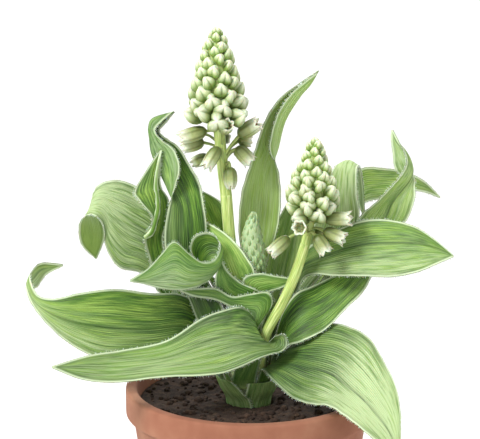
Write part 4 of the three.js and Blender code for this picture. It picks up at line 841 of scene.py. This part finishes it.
leaf(
    "leaf_twisted_right", foot=("low", 26, 44, 3), waves=3, ripple=0.1, phase=0,
    bloom_and_highlight=((0.3, 0.3, 0.4), (0.3, 0.4, 0.6), (0.5, 0.7, 0.9)), depth=(0.8, 0.5, 0.1, 0.1, 0.0),
    fresh=(0.07, 0.07), crease=(0.5, 0.5),
    rows=[
        [(24, 44, 9.8), (28, 40, 10.4), (32, 37, 8.8)],
        [(40, 66, 14.1), (46, 62, 15.1), (50.5, 59, 13.1)],
        [(49, 82, 15), (57, 79, 18), (64.5, 76, 16.6)],
        [(55.6, 92.6, 14.7), (67, 90, 19.1), (77.5, 88.6, 18.1)],
        [(62.5, 98.5, 15.3), (71, 98.5, 19.9), (82.2, 99.6, 19.5)],
        [(68.6, 104.8, 16), (76, 105, 20.4), (82.6, 106.2, 22)],
        [(73.2, 109.8, 17), (80, 110.2, 21.3), (81.6, 111.6, 25)],
        [(76.6, 114.4, 18.4), (81.4, 115, 22.8), (75, 112.6, 26.2)],
        [(78.2, 119.4, 20.2), (79.9, 120, 23.6), (72.2, 117, 26.4)],
        [(76.8, 124.5, 22.4), (77, 125, 25), (71.4, 123.6, 26.6)],
        [(74.4, 129.5, 24.6), (73.2, 129.2, 25.9), (70.6, 129.2, 26.8)],
        [(71.1, 135, 27.4)],
    ])
leaf(
    "leaf_right", foot=("mid", -6, 40, 3), waves=5, ripple=0.35, phase=0,
    bloom_and_highlight=((0.0, 0.2, 0.9), (0.1, 0.3, 0.9), (0.1, 0.3, 0.6)), depth=(0.9, 0.85, 0.4, 0.2, 0.1),
    fresh=(0.02, 0.02), crease=(0.45, 0.4),
    rows=[
        [(13, 45, 2.7), (14, 41, 1.1), (15, 37.5, -0.7)],
        [(19, 60, 3.8), (21, 55, 2.2), (22.5, 51.5, 0.8)],
        [(26, 73, 3.1), (27, 66, 0.7), (29, 61.8, -3.5)],
        [(37, 82, 1.6), (41, 71.5, -2.9), (44, 62, -10.4)],
        [(53, 89, -0.5), (56, 75, -6.3), (58, 61.6, -15.5)],
        [(67, 90.4, -3.6), (70, 75.8, -10.4), (72, 61.6, -18.6)],
        [(81, 87.4, -7.9), (83, 76, -14.1), (84, 63.9, -19.7)],
        [(91.5, 81, -12.7), (93, 74.8, -16.3), (93, 67.7, -19.9)],
        [(101.8, 72, -18.5)],
    ])
leaf(
    "leaf_right_under", foot=("low", -16, 32, 3), waves=4, ripple=0.35, phase=1,
    bloom_and_highlight=((0.0, 0.0, 0.0), (0.0, 0.1, 0.2), (0.1, 0.1, 0.3)), depth=(0.9, 0.7, 0.3, 0.2, 0.1),
    fresh=(-0.02, -0.02),
    rows=[
        [(14.5, 38, -3.6), (16, 30, -6.6), (16, 25, -10)],
        [(21.5, 52, -2.2), (25, 40, -8.6), (27, 29.5, -15)],
        [(31, 57, 0), (36, 46, -6), (38, 35.5, -12)],
        [(42, 62.5, 3), (46, 54, -1.6), (48.5, 46, -7)],
        [(51, 67, 5.6), (54, 61.5, 3), (57.5, 55.4, -0.6)],
        [(64, 70, 6.6)],
    ])
leaf(
    "leaf_drooping", foot=("low", -54, 38, 3), waves=5, ripple=0.35, phase=2,
    bloom_and_highlight=(
        (0.0, 0.0, 0.0), (0.0, 0.0, 0.1), (0.2, 0.3, 0.6), (0.5, 1.6, 1.3),
        (0.9, 1.4, 0.7), (0.5, 0.6, 0.4)),
    depth=(0.9, 0.9, 0.62, 0.12, 0.12, 0.35), fresh=(0.0, 0.0), crease=(0.6, 0.5),
    rows=[
        [(13, 19, -9.4), (10, 17, -13), (6, 15.5, -16)],
        [(24, 30, -6), (19, 20, -17.5), (11, 10, -26)],
        [(34, 37.5, -5.4), (31, 18, -25), (20.5, 1.4, -36)],
        [(47, 37.5, -9), (42, 14.5, -32), (30.5, -2, -46)],
        [(58.6, 31.8, -17), (50, 7.5, -39), (39.5, -3.4, -52)],
        [(66.8, 19.5, -28), (58, 0, -48), (47.5, -8, -57.5)],
        [(72.7, 7.5, -41), (65.5, -9.5, -56), (56, -15, -62)],
        [(75.2, -4.5, -54), (70.5, -17.5, -62), (64, -21.5, -65)],
        [(75.4, -17, -64), (73.4, -24.5, -66), (70.4, -27, -67)],
        [(75.5, -34, -69)],
    ])

# Two short sheathing leaves wrap the neck at the soil, the left one lapping over the right. They are pale and
# fleshy, since they grow half in the earth, with fewer veins to see and a waxy bloom. Each arc runs from one
# bearing to another, at a height over the soil and a radius.
SHEATHS = (
    ("sheath_right", [
        (42, -112, -3, 9.9), (40, -106, 3, 10.7), (36, -100, 8, 13.2), (30, -94, 13.5, 14.4)]),
    ("sheath_left", [
        (-84, -222, -3, 11.2), (-88, -220, 3, 12.1), (-102, -216, 8, 14.7), (-122, -208, 14.5, 17.2)]))

# Their skins are a milky yellow-green that lets more light in than a leaf's.
pale_upper = living_leaf(
    "sheath_inner_skin", 0.5, deep="#4d7428", fresh="#7c9f4a", light="#a6bf74", wax_and_highlight="#ccdbab", most_wax_and_highlight=0.9,
    subsurface=0.1)
pale_under = living_leaf(
    "sheath_outer_skin", 0.5, deep="#4c742c", fresh="#7ba04e", light="#a9c27c", wax_and_highlight="#d2e0b6", most_wax_and_highlight=0.9,
    subsurface=0.1)
for name, arcs in SHEATHS:
    rows = [around((a + b) / 2, a - b, height, radius, 5) for a, b, height, radius in arcs]
    # Their depth numbers darken them towards the soil with painted shade.
    made = blade(
        name + "_wrap", rows, [pale_upper, pale_under, thin_rim, down], waves=3, ripple=0, phase=0,
        bloom_and_highlight=((0.3, 0.3, 0.3), (0.1, 0.1, 0.1)), fresh=(0.0, 0.0), depth=(0.5, 0.1), steps=(30, 64))
    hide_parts(name)

# The small pointed leaf rolls its right margin forward, so that a pale strip runs down its front and ends in
# a little hook low on the left. It is 1 to 3 mm wide, and the thumb feels it as a soft cord on the blade.
ROLL = [
    [(-53.2, 82, 0.4), (-52.9, 81.1, 0), (-52.6, 80.2, 0.4)],
    [(-50.4, 84.8, 2.2), (-49.4, 83.8, 1.4), (-48.4, 82.6, 2.4)],
    [(-48.7, 89.9, 3.1), (-47.5, 89.3, 2.2), (-46.4, 88.7, 3.5)],
    [(-47.1, 96.3, 3.8), (-46, 96.2, 2.8), (-44.9, 96.1, 4.1)],
    [(-47.3, 102.3, 3.8), (-46.4, 102.2, 3), (-45.5, 102.1, 4.1)],
    [(-48.1, 107.5, 3.8), (-47.1, 107.5, 3), (-46.1, 107.5, 4)],
    [(-46.6, 117.3, 4.4), (-46, 117.5, 3.8), (-45.4, 117.6, 4.6)],
    [(-44.4, 124.9, 5.7)]]
made = blade(
    "leaf_pointed_left_roll", [[seen(*p) for p in row] for row in ROLL],
    [under_skin, under_skin, thin_rim, down], waves=3, ripple=0.05, phase=0.0,
    bloom_and_highlight=((0.0, 0.0, 0.0), (0.0, 0.0, 0.0)), fresh=(0.06, 0.02), depth=(0.0, 0.1), steps=(72, 12), hairs=0.9)
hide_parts("leaf_pointed_left")


# The scapes are smooth, round, juicy stems, yellow-green with a paler bloom, one to each raceme. They come
# up out of the middle of the neck between the leaf bases.
def frames(path, count):
    """Points along a smooth path with two directions square to it."""
    centres = through(path, np.linspace(0, 1, count))
    forward = unit(np.gradient(centres, axis=0))
    first = unit(np.cross(forward, np.array([0.0, 1.0, 0.0])))
    return centres, forward, first, np.cross(first, forward)


def tube(path, radii, count, sides):
    """A round solid along a path, closed at both ends, with uv as (millimetres round, millimetres along)."""
    centres, _, first, second = frames(path, count)
    radius = np.interp(np.linspace(0, 1, count), np.linspace(0, 1, len(radii)), radii)
    points, uv = [centres[0]], [(0, 0)]
    gone = 0.0
    for i in range(count):
        gone += np.linalg.norm(centres[i] - centres[max(i - 1, 0)])
        for j in range(sides):
            a = 2 * math.pi * j / sides
            points.append(centres[i] + radius[i] * (math.cos(a) * first[i] + math.sin(a) * second[i]))
            uv.append((abs(a - math.pi) * radius[i], gone))
    points.append(centres[-1])
    uv.append((0, gone))
    return np.array(points), ring_faces(count, sides), np.array(uv)


def juicy_stem(name, low, high, streaked):
    """Smooth stem skin, full of sap, with fine streaks about 0.7 mm wide and 14 mm long."""
    made, tree, shader = finish_named(name, 0.4, 1.4, 0.15)
    spot = add(tree, "ShaderNodeUVMap", uv_map="UVMap").outputs["UV"]
    streak_place = add(tree, "ShaderNodeMapping", {"Vector": spot, "Scale": (1 / 0.7, 1 / 14, 1)})
    streak = add(tree, "ShaderNodeTexNoise", {"Vector": streak_place.outputs[0], "Scale": 1.0, "Detail": 3.0})
    skin = add(
        tree, "ShaderNodeValToRGB", {0: streak.outputs["Fac"]},
        ramp=[(0.32, streaked), (0.5, low), (0.7, high)])
    tree.links.new(skin.outputs["Color"], shader.inputs["Base Color"])
    bump = add(
        tree, "ShaderNodeBump", {"Strength": 0.15, "Distance": 0.0002, "Height": streak.outputs["Fac"]})
    tree.links.new(bump.outputs["Normal"], shader.inputs["Normal"])
    return made


# A scape is bright yellow-green, lighter where its bloom is left whole. Each has its path and its radii.
scape_skin = juicy_stem("juicy_scape_skin", low="#acc069", high="#d2de9a", streaked="#82994a")
SCAPES = {
    "scape_a": (
        [(-2.4, 25.5, 1.5), (-4.5, 45, 2.6), (-8, 66, 5), (-10.2, 82, 6), (-12, 103, 5.5)],
        [2.2, 2.5, 2.8, 2.9, 2.9]),
    "scape_b": (
        [(4.0, 7.0, -6.7), (5.2, 20, -8.4), (8, 33, -10.2), (17, 50, -10.2), (23, 64, -9.6), (27.6, 78, -9)],
        [2.2, 2.3, 2.5, 2.6, 2.6, 2.5]),
    "scape_c": ([(3.4, 27, 0.8), (3.2, 45, 2.4), (3.6, 61.5, 4)], [1.4, 1.6, 1.9])}
for name, (path, radii) in SCAPES.items():
    points, faces, uv = tube([seen(*p) for p in path], radii, 60, 24)
    made = piece(name + "_stem", points, faces, [scape_skin], uv=uv)
    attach(made, "root")
    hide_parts(name)

# The racemes: crowded buds in a cone, largest below, and under it bell flowers on short stalks. A flower is
# six cream tepals with green keels, fused to a tube that opens in small pointed lobes, with its anthers in
# the mouth. The buds grow in a spiral and press on each other, more tightly towards the top.
BUD_GIRTH = 0.43
BUD_SIDES = 24
GOLDEN_TURN = math.pi * (3 - math.sqrt(5))
PACKING_BELOW = 0.76
PACKING_LOSS = 0.28
TEPALS = 6
STALK_RADII = [0.85, 0.65, 0.85]
ANTHER_LENGTH = 1.6
ANTHER_RADIUS = 0.4
SPINE_POINTS = 400
# The finishes of a raceme's parts, by their numbers on its mesh.
BUDS, STALKS, ANTHERS, STEM, FLOWERS = range(5)


def skin_round(rings, length, sides, ripe):
    """Closed skin, root first, over rings: each has a share of the length and two functions of the turn,
    one for its radius and one for how far its points drop."""
    turns = [2 * math.pi * j / sides for j in range(sides)]
    points = [(0, 0, 0)]
    uv = [(0, 0)]
    for high, radius, drop in rings:
        for a in turns:
            r = radius(a)
            points.append((r * math.cos(a), r * math.sin(a), (high - drop(a)) * length))
            uv.append((a / (2 * math.pi), high))
    points.append((0, 0, rings[-1][0] * length))
    uv.append((0, rings[-1][0]))
    return np.array(points), ring_faces(len(rings), sides), np.array(uv), np.full(len(points), ripe)


def bud(length, radius, ripe, pointed=0.0):
    """A closed bud: an egg with three blunt keels and three seams that meet at its tip."""
    heights = [0.02, 0.1, 0.24, 0.42, 0.58, 0.72, 0.84, 0.93, 0.985]
    blunt = [0.3, 0.56, 0.82, 0.97, 1.0, 0.9, 0.7, 0.42, 0.14]
    sharpened = [0, 0, 0, 0, 0.13, 0.28, 0.32, 0.22, 0]
    rings = []
    for high, full, less in zip(heights, blunt, sharpened):
        wide = full - less * pointed
        seam = 0.36 * min(1, max(0, (high - 0.15) / 0.5))
        rings.append((
            high,
            lambda a, w=wide, d=seam: radius * w * (
                0.83 + 0.32 * (1 - abs(math.sin(1.5 * a))) - d * (0.5 - 0.5 * math.cos(3 * a)) ** 6),
            lambda a: 0.0))
    return skin_round(rings, length, BUD_SIDES, ripe)


def bell(length, radius, opened):
    """A flower: a six-ribbed tube with short lobes round its mouth, and its hollow throat. Each ring has its
    place along the tube, its width when shut and when open, and how far its lobes spread."""
    outside = [
        (0.02, 0.32, 0.32, 0), (0.08, 0.62, 0.62, 0), (0.2, 0.88, 0.88, 0), (0.4, 1.0, 1.0, 0),
        (0.62, 0.98, 1.0, 0), (0.78, 0.86, 0.95, 0.2), (0.9, 0.66, 0.97, 0.7), (1.0, 0.46, 1.1, 1)]
    inside = [
        (0.97, 0.38, 0.98, 0.9), (0.86, 0.42, 0.8, 0.4), (0.72, 0.5, 0.74, 0), (0.5, 0.5, 0.66, 0),
        (0.36, 0.3, 0.4, 0)]
    rings = []
    for high, shut, wide, spread in outside + inside:
        rings.append((
            high,
            lambda a, w=shut + (wide - shut) * opened, g=spread: radius * (
                w * (1 + 0.05 * math.cos(TEPALS * a))
                + 0.14 * opened * g * (0.5 + 0.5 * math.cos(TEPALS * a))),
            lambda a, g=spread: 0.17 * g * (0.5 - 0.5 * math.cos(TEPALS * a)) ** 1.5))
    return skin_round(rings, length, BUD_SIDES, 1.0)


def stood(shape, root, direction, spin=0.0):
    """Moves a shape so that its root is at a point and its length lies along a direction."""
    points, *rest = shape
    aim = unit(np.asarray(direction, float))
    across = np.array([0.31, 0.17, 0.93]) if abs(aim[2]) < 0.9 else np.array([1.0, 0.2, 0.0])
    side = unit(np.cross(aim, across))
    other = np.cross(aim, side)
    c, s = math.cos(spin), math.sin(spin)
    turned_side, turned_other = c * side + s * other, c * other - s * side
    return points @ np.stack([turned_side, turned_other, aim]) + root, *rest


def petal(name, low, middle, high, young_low, young_high, keel, low_at, keel_most):
    """Tepal skin: green at the root, cream to near white at the tips, with six green keels."""
    made, tree, shader = finish_named(name, 0.42, 1.4, 0.25)
    spot = add(tree, "ShaderNodeUVMap", uv_map="UVMap").outputs["UV"]
    parts = add(tree, "ShaderNodeSeparateXYZ", {0: spot})
    open_stops = [(low_at, low), (0.5 + 0.4 * low_at, middle), (0.93, high)]
    open_colour = add(tree, "ShaderNodeValToRGB", {0: parts.outputs["Y"]}, ramp=open_stops)
    young_stops = [(0.48, young_low), (0.86, young_high)]
    young_colour = add(tree, "ShaderNodeValToRGB", {0: parts.outputs["Y"]}, ramp=young_stops)
    ripe = add(tree, "ShaderNodeAttribute", attribute_name="ripe").outputs["Fac"]
    aged = add(
        tree, "ShaderNodeMix", {0: ripe, 6: young_colour.outputs["Color"], 7: open_colour.outputs["Color"]},
        data_type="RGBA")
    turn = add(
        tree, "ShaderNodeMath", {0: parts.outputs["X"], 1: 2 * TEPALS * math.pi}, operation="MULTIPLY")
    wave = add(tree, "ShaderNodeMath", {0: turn.outputs[0]}, operation="COSINE")
    line = add(
        tree, "ShaderNodeMapRange",
        {"Value": wave.outputs[0], "From Min": 0.2, "From Max": 1.0, "To Max": keel_most})
    lower = add(
        tree, "ShaderNodeMapRange",
        {"Value": parts.outputs["Y"], "From Min": 1.0, "From Max": 0.3, "To Min": 0.25, "To Max": 1.0})
    share = add(tree, "ShaderNodeMath", {0: line.outputs[0], 1: lower.outputs[0]}, operation="MULTIPLY")
    keeled = add(
        tree, "ShaderNodeMix", {0: share.outputs[0], 6: aged.outputs[2], 7: linear(keel)}, data_type="RGBA")
    # Fine mottling about 1.2 mm across, as on a waxy petal.
    place = add(tree, "ShaderNodeTexCoord").outputs["Object"]
    mottle = add(tree, "ShaderNodeTexNoise", {"Vector": place, "Scale": 1000 / 1.2, "Detail": 3.0})
    light = add(
        tree, "ShaderNodeMapRange",
        {"Value": mottle.outputs["Fac"], "From Min": 0.3, "From Max": 0.7, "To Min": 0.0, "To Max": 0.3})
    flecked = add(
        tree, "ShaderNodeMix", {0: light.outputs[0], 6: keeled.outputs[2], 7: linear(young_low)},
        data_type="RGBA")
    tree.links.new(flecked.outputs[2], shader.inputs["Base Color"])
    return made


# A bud's tepals are waxy: olive at the root, milky at the tip, and a clearer green while they are young. The
# dark olive reaching almost half way up a bud is partly painted shade, where the crowded buds hide each
# other's roots. An open flower is olive along its whole tube, and only its lobes are cream.
bud_tepal = petal(
    "waxy_bud_tepal", low="#46522a", middle="#96a26f", high="#d9dfc8", young_low="#84a04c",
    young_high="#e9efcd", keel="#62753c", low_at=0.44, keel_most=0.75)
open_tepal = petal(
    "olive_flower_tube", low="#5f6d36", middle="#a2ad72", high="#e4e8d2", young_low="#5f6d36",
    young_high="#e4e8d2", keel="#555e2e", low_at=0.1, keel_most=0.8)
# Stalks are thin and a little greyer than the scapes, so that they read against them.
stalk_skin = juicy_stem("flower_stalk_skin", low="#98a860", high="#b7c585", streaked="#76883f")
# Anthers are dry and dusty with pollen, olive with lighter grains.
anther = mottled("dusty_anther", 0.7, 1.45, 0.0, 0.5, 2.0, [(0.35, "#5a5630"), (0.7, "#9c9559")])


def stem_part(path, radii, count, sides, finish):
    """A tube as one of a raceme's parts."""
    points, faces, uv = tube(path, radii, count, sides)
    return points, faces, uv, np.ones(len(points)), finish


def joined(name, parts, finishes):
    """One piece from many shapes; each is (points, faces, uv, ripe, finish number)."""
    points, faces, uv, ripe, slots, start = [], [], [], [], [], 0
    for shape, own_faces, own_uv, own_ripe, finish in parts:
        points.append(shape)
        faces += [tuple(k + start for k in f) for f in own_faces]
        uv.append(own_uv)
        ripe.append(own_ripe)
        slots += [finish] * len(own_faces)
        start += len(shape)
    values = {"ripe": np.concatenate(ripe)}
    made = piece(name, np.concatenate(points), faces, finishes, slots, np.concatenate(uv), values)
    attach(made, "root")
    return made


def raceme(name, node, spine, core, cone_from, reach, sizes, seed, flowers):
    """An axis that swells under a cone of crowded buds, and the flowers on stalks below the cone.
    Core is the axis's radii, two for its stem and the rest inside the cone; the cone starts at a share of the
    spine; reach is how far the buds' tips stand from the axis, foot to top; sizes are the longest and the
    shortest bud. A flower has where its stalk leaves the axis, the stalk's middle, the flower's own base and
    mouth, its radius and how far it is open."""
    path = [seen(*p) for p in spine]
    centres, forward, _, _ = frames(path, SPINE_POINTS)
    gone = np.concatenate([[0], np.cumsum(np.linalg.norm(np.diff(centres, axis=0), axis=1))])
    inside = centres[int(SPINE_POINTS * cone_from) - 6:SPINE_POINTS - 8:12]
    parts = [
        stem_part(path[:4], [core[0], core[1], core[1]], 40, 24, STEM),
        stem_part(inside, core[1:], 48, 20, STALKS)]
    draw = random.Random(seed)
    cone = gone[-1] * (1 - cone_from)
    high, number = 0.0, 0
    while high < cone:
        k = high / cone
        at = min(np.searchsorted(gone, cone_from * gone[-1] + high), SPINE_POINTS - 1)
        turn = number * GOLDEN_TURN + seed + draw.uniform(-0.16, 0.16)
        side = np.array([math.cos(turn), math.sin(turn), 0])
        sway = np.array([draw.uniform(-0.14, 0.14) for _ in range(3)])
        way = unit(side + (0.3 + 2.6 * k) * forward[at] + sway)
        size = (sizes[0] + (sizes[1] - sizes[0]) * k ** 0.7) * draw.uniform(0.88, 1.12)
        out = np.interp(k, np.linspace(0, 1, len(reach)), reach) * draw.uniform(0.95, 1.03)
        root = centres[at] + side * out - way * size
        ripe = max(0.0, 1 - 1.3 * k) * draw.uniform(0.75, 1.0)
        grown = bud(size, size * BUD_GIRTH, ripe, 0.2 + 0.3 * k)
        parts.append((*stood(grown, root, way, draw.uniform(0, 6)), BUDS))
        wide = 2 * BUD_GIRTH * size
        girth = 2 * math.pi * max(out - 0.35 * size, 1.0)
        high += (PACKING_BELOW - PACKING_LOSS * k) * wide * wide / girth
        number += 1
    parts.append((*stood(bud(5.2, 2.2, 0.0), centres[-1] - 4.9 * forward[-1], forward[-1]), BUDS))
    for place_at, stalk_middle, base, mouth, radius, opened in flowers:
        a, b, c, d = (seen(*p) for p in (place_at, stalk_middle, base, mouth))
        length = np.linalg.norm(d - c)
        way = (d - c) / length
        spin = draw.uniform(0, 1)
        parts.append((*stood(bell(length, radius, opened), c, way, spin), FLOWERS))
        parts.append(stem_part([a, b, c + 0.12 * length * way], STALK_RADII, 7, 8, STALKS))
        for j in range(TEPALS):
            turn = spin + (j + 0.5) * math.pi / 3
            girdle = [(share, lambda _: ANTHER_RADIUS, lambda _: 0.0) for share in (0.2, 0.8)]
            grain = skin_round(girdle, ANTHER_LENGTH, 6, 1.0)
            seat = np.array([[0.5 * radius * math.cos(turn), 0.5 * radius * math.sin(turn), 0.74 * length]])
            parts.append((*stood(grain, stood((seat,), c, way)[0][0], way), ANTHERS))
    made = joined(name, parts, [bud_tepal, stalk_skin, anther, scape_skin, open_tepal])
    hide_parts(node)


raceme(
    "raceme_tall", "raceme_a",
    spine=[(-11.9, 102.2, 5.5), (-14, 120, 5), (-15.8, 140, 4.4), (-16.6, 162, 4), (-17.2, 186.4, 3.6)],
    core=[2.86, 2.76, 9, 9.6, 8.8, 7.8, 6.6, 5.2, 3.6, 1], cone_from=0.495,
    reach=[18.6, 16.4, 13.4, 11.3, 9.5, 7.4, 5.2, 2.6], sizes=(12.6, 5.4), seed=11, flowers=[
        [(-14.6, 131, 4.4), (-18, 134.5, 3), (-21.6, 134.8, 2), (-36, 130.6, -1), 3.6, 0.6],
        [(-14.4, 125, 5), (-18.5, 127.5, 5.4), (-23, 129.4, 6), (-34, 126, 7), 3.3, 0.5],
        [(-13.4, 118, 4), (-14, 125, 0.6), (-15.6, 126.6, -1.6), (-22.5, 115.4, -6), 3.5, 0.7],
        [(-13.2, 117, 6), (-17, 120.6, 9.4), (-20.6, 121.6, 12), (-28.6, 118.4, 16.6), 3.1, 0.5],
        [(-12.6, 116.6, 4.2), (-10.6, 119, 1.4), (-10, 116.6, 0.6), (-9.6, 105, -1), 3.3, 0.0],
        [(-12.8, 122, 4), (-9.4, 127.6, 2), (-6, 132.2, 1), (5, 139, -1), 3.7, 0.6],
        [(-12.8, 122.6, 6), (-9, 127, 7.4), (-6, 130, 8), (1, 129.4, 9), 3.2, 0.6],
        [(-12.4, 120, 5), (-9.4, 124.6, 4), (-6.8, 126.6, 4), (0.8, 118.4, 3), 3.6, 0.8],
        [(-14, 128, 3), (-13.4, 132, -1.6), (-13, 134.6, -4), (-11, 138, -11), 3.3, 0.7],
        [(-14, 124, 7), (-14, 129, 11), (-14, 131, 13), (-13, 131, 21), 3.4, 0.8],
        [(-14, 127, 7), (-20, 132, 10), (-23, 133, 12), (-31, 133, 17), 3.3, 0.5],
        [(-13, 120, 7), (-9, 124, 10.6), (-7, 125, 12.6), (-1, 122, 19), 3.4, 0.6]])
raceme(
    "raceme_short", "raceme_b",
    spine=[(27.5, 77.2, -9), (30, 90, -9), (31.2, 104, -9), (32, 118, -9), (32.4, 131.4, -9)],
    core=[2.46, 2.4, 7.6, 8.2, 7.4, 6.2, 4.6, 3, 0.8], cone_from=0.31,
    reach=[12.6, 13.6, 12.8, 10.6, 7.6, 4.8, 2.4], sizes=(11.6, 5.0), seed=4, flowers=[
        [(28.4, 82, -9), (24, 83.4, -10), (19.6, 81.6, -11), (9.6, 72.6, -14), 3.4, 0.7],
        [(28.8, 84, -10), (27.6, 85.6, -14), (26.6, 86, -16), (24.4, 86.2, -21), 3.2, 1.0],
        [(29.6, 87, -9), (33.4, 89.4, -10), (37, 90.4, -11), (51.4, 90.8, -13), 3.5, 0.9],
        [(29.2, 85, -9), (33, 86, -11), (36.6, 84.6, -12), (48, 80, -15), 3.4, 0.9],
        [(28.8, 82, -10), (30.6, 84.2, -14), (32.6, 82.6, -15.6), (38.6, 73, -18), 3.5, 0.9],
        [(28.6, 82, -8.4), (30.6, 84, -5), (32, 84.6, -3.6), (37, 82.4, 0), 2.8, 0.6],
        [(28.8, 84, -8), (27, 86.6, -4), (26, 87, -2), (23, 86, 4), 3, 0.6]])

# The youngest raceme is still a tight spindle between the two scapes: overlapping scales, each the skin of a
# bud, mottled green and a little paler at their tips, packed in a spiral over its axis.
SCALES = 84
SPINDLE_POINTS = 200
young_tepal = petal(
    "mottled_young_scale", low="#819b63", middle="#9bb17c", high="#b2c496", young_low="#819b63",
    young_high="#afc293", keel="#7f9861", low_at=0.3, keel_most=0.25)
spindle = [seen(*p) for p in [(3.62, 62, 4.02), (2.2, 71, 4.2), (1, 82, 4.2), (1.8, 94, 4)]]
parts = [stem_part(spindle, [1.9, 4.7, 5.5, 4.5, 1.2], 24, 20, BUDS)]
centres, forward, _, _ = frames(spindle, SPINDLE_POINTS)
for i in range(SCALES):
    k = (i + 0.5) / SCALES
    at = int((SPINDLE_POINTS - 1) * (0.04 + 0.88 * k))
    turn = i * GOLDEN_TURN
    side = np.array([math.cos(turn), math.sin(turn), 0])
    wide = np.interp(k, [0, 0.25, 0.5, 0.75, 1], [2.8, 5.3, 5.9, 4.5, 1.5])
    root = centres[at] + side * wide * 0.68 - forward[at]
    scale = bud(6.6 - 1.8 * k, 2.1 - 0.7 * k, 0.5, 0.9)
    parts.append((*stood(scale, root, forward[at] + 0.22 * (1 - 0.9 * k) * side, turn), BUDS))
made = joined("raceme_young", parts, [young_tepal])
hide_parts("raceme_c")

# The studio: a wide sheet of matt white paper that the pot stands on, with a tooth of about 2 mm, drawn
# coarse enough to show; a soft light from the upper left, a weaker one from the right, one from behind and
# above, and an even pale surround, so that shadows stay light.
SHEET_HALF = 6000
paper = mottled("matt_paper", 0.9, 1.45, 0.0, 2, 2.0, [(0.3, "#f4f3f0"), (0.7, "#f8f7f5")])
sheet_corners = [(SHEET_HALF * x, SHEET_HALF * y, 0) for x, y in ((-1, -1), (1, -1), (1, 1), (-1, 1))]
ground = piece("paper_ground", sheet_corners, [(0, 1, 2, 3)], [paper])
# Each lamp has its name, its place in metres, the side of its square in metres and its power in watts.
LAMPS = (
    ("window_left", (-0.8, -0.75, 1.2), 0.5, 24.0),
    ("fill_right", (1.1, -0.8, 0.6), 1.0, 3.0),
    ("back_top", (0.4, 2.6, 2.1), 2.0, 38.0))
PLANT_MIDDLE = Vector((0, 0, 0.17))
for name, place, size, power in LAMPS:
    lamp = bpy.data.objects.new(name, bpy.data.lights.new(name, "AREA"))
    lamp.data.size = size
    lamp.data.energy = power
    lamp.location = place
    lamp.rotation_euler = (PLANT_MIDDLE - Vector(place)).to_track_quat("-Z", "Y").to_euler()
    scene.collection.objects.link(lamp)
scene.world = bpy.data.worlds.new("pale_surround")
scene.world.use_nodes = True
surround = scene.world.node_tree.nodes["Background"]
surround.inputs["Color"].default_value = linear("#f7f8fa")
surround.inputs["Strength"].default_value = 0.72
scene.view_settings.view_transform = "Standard"
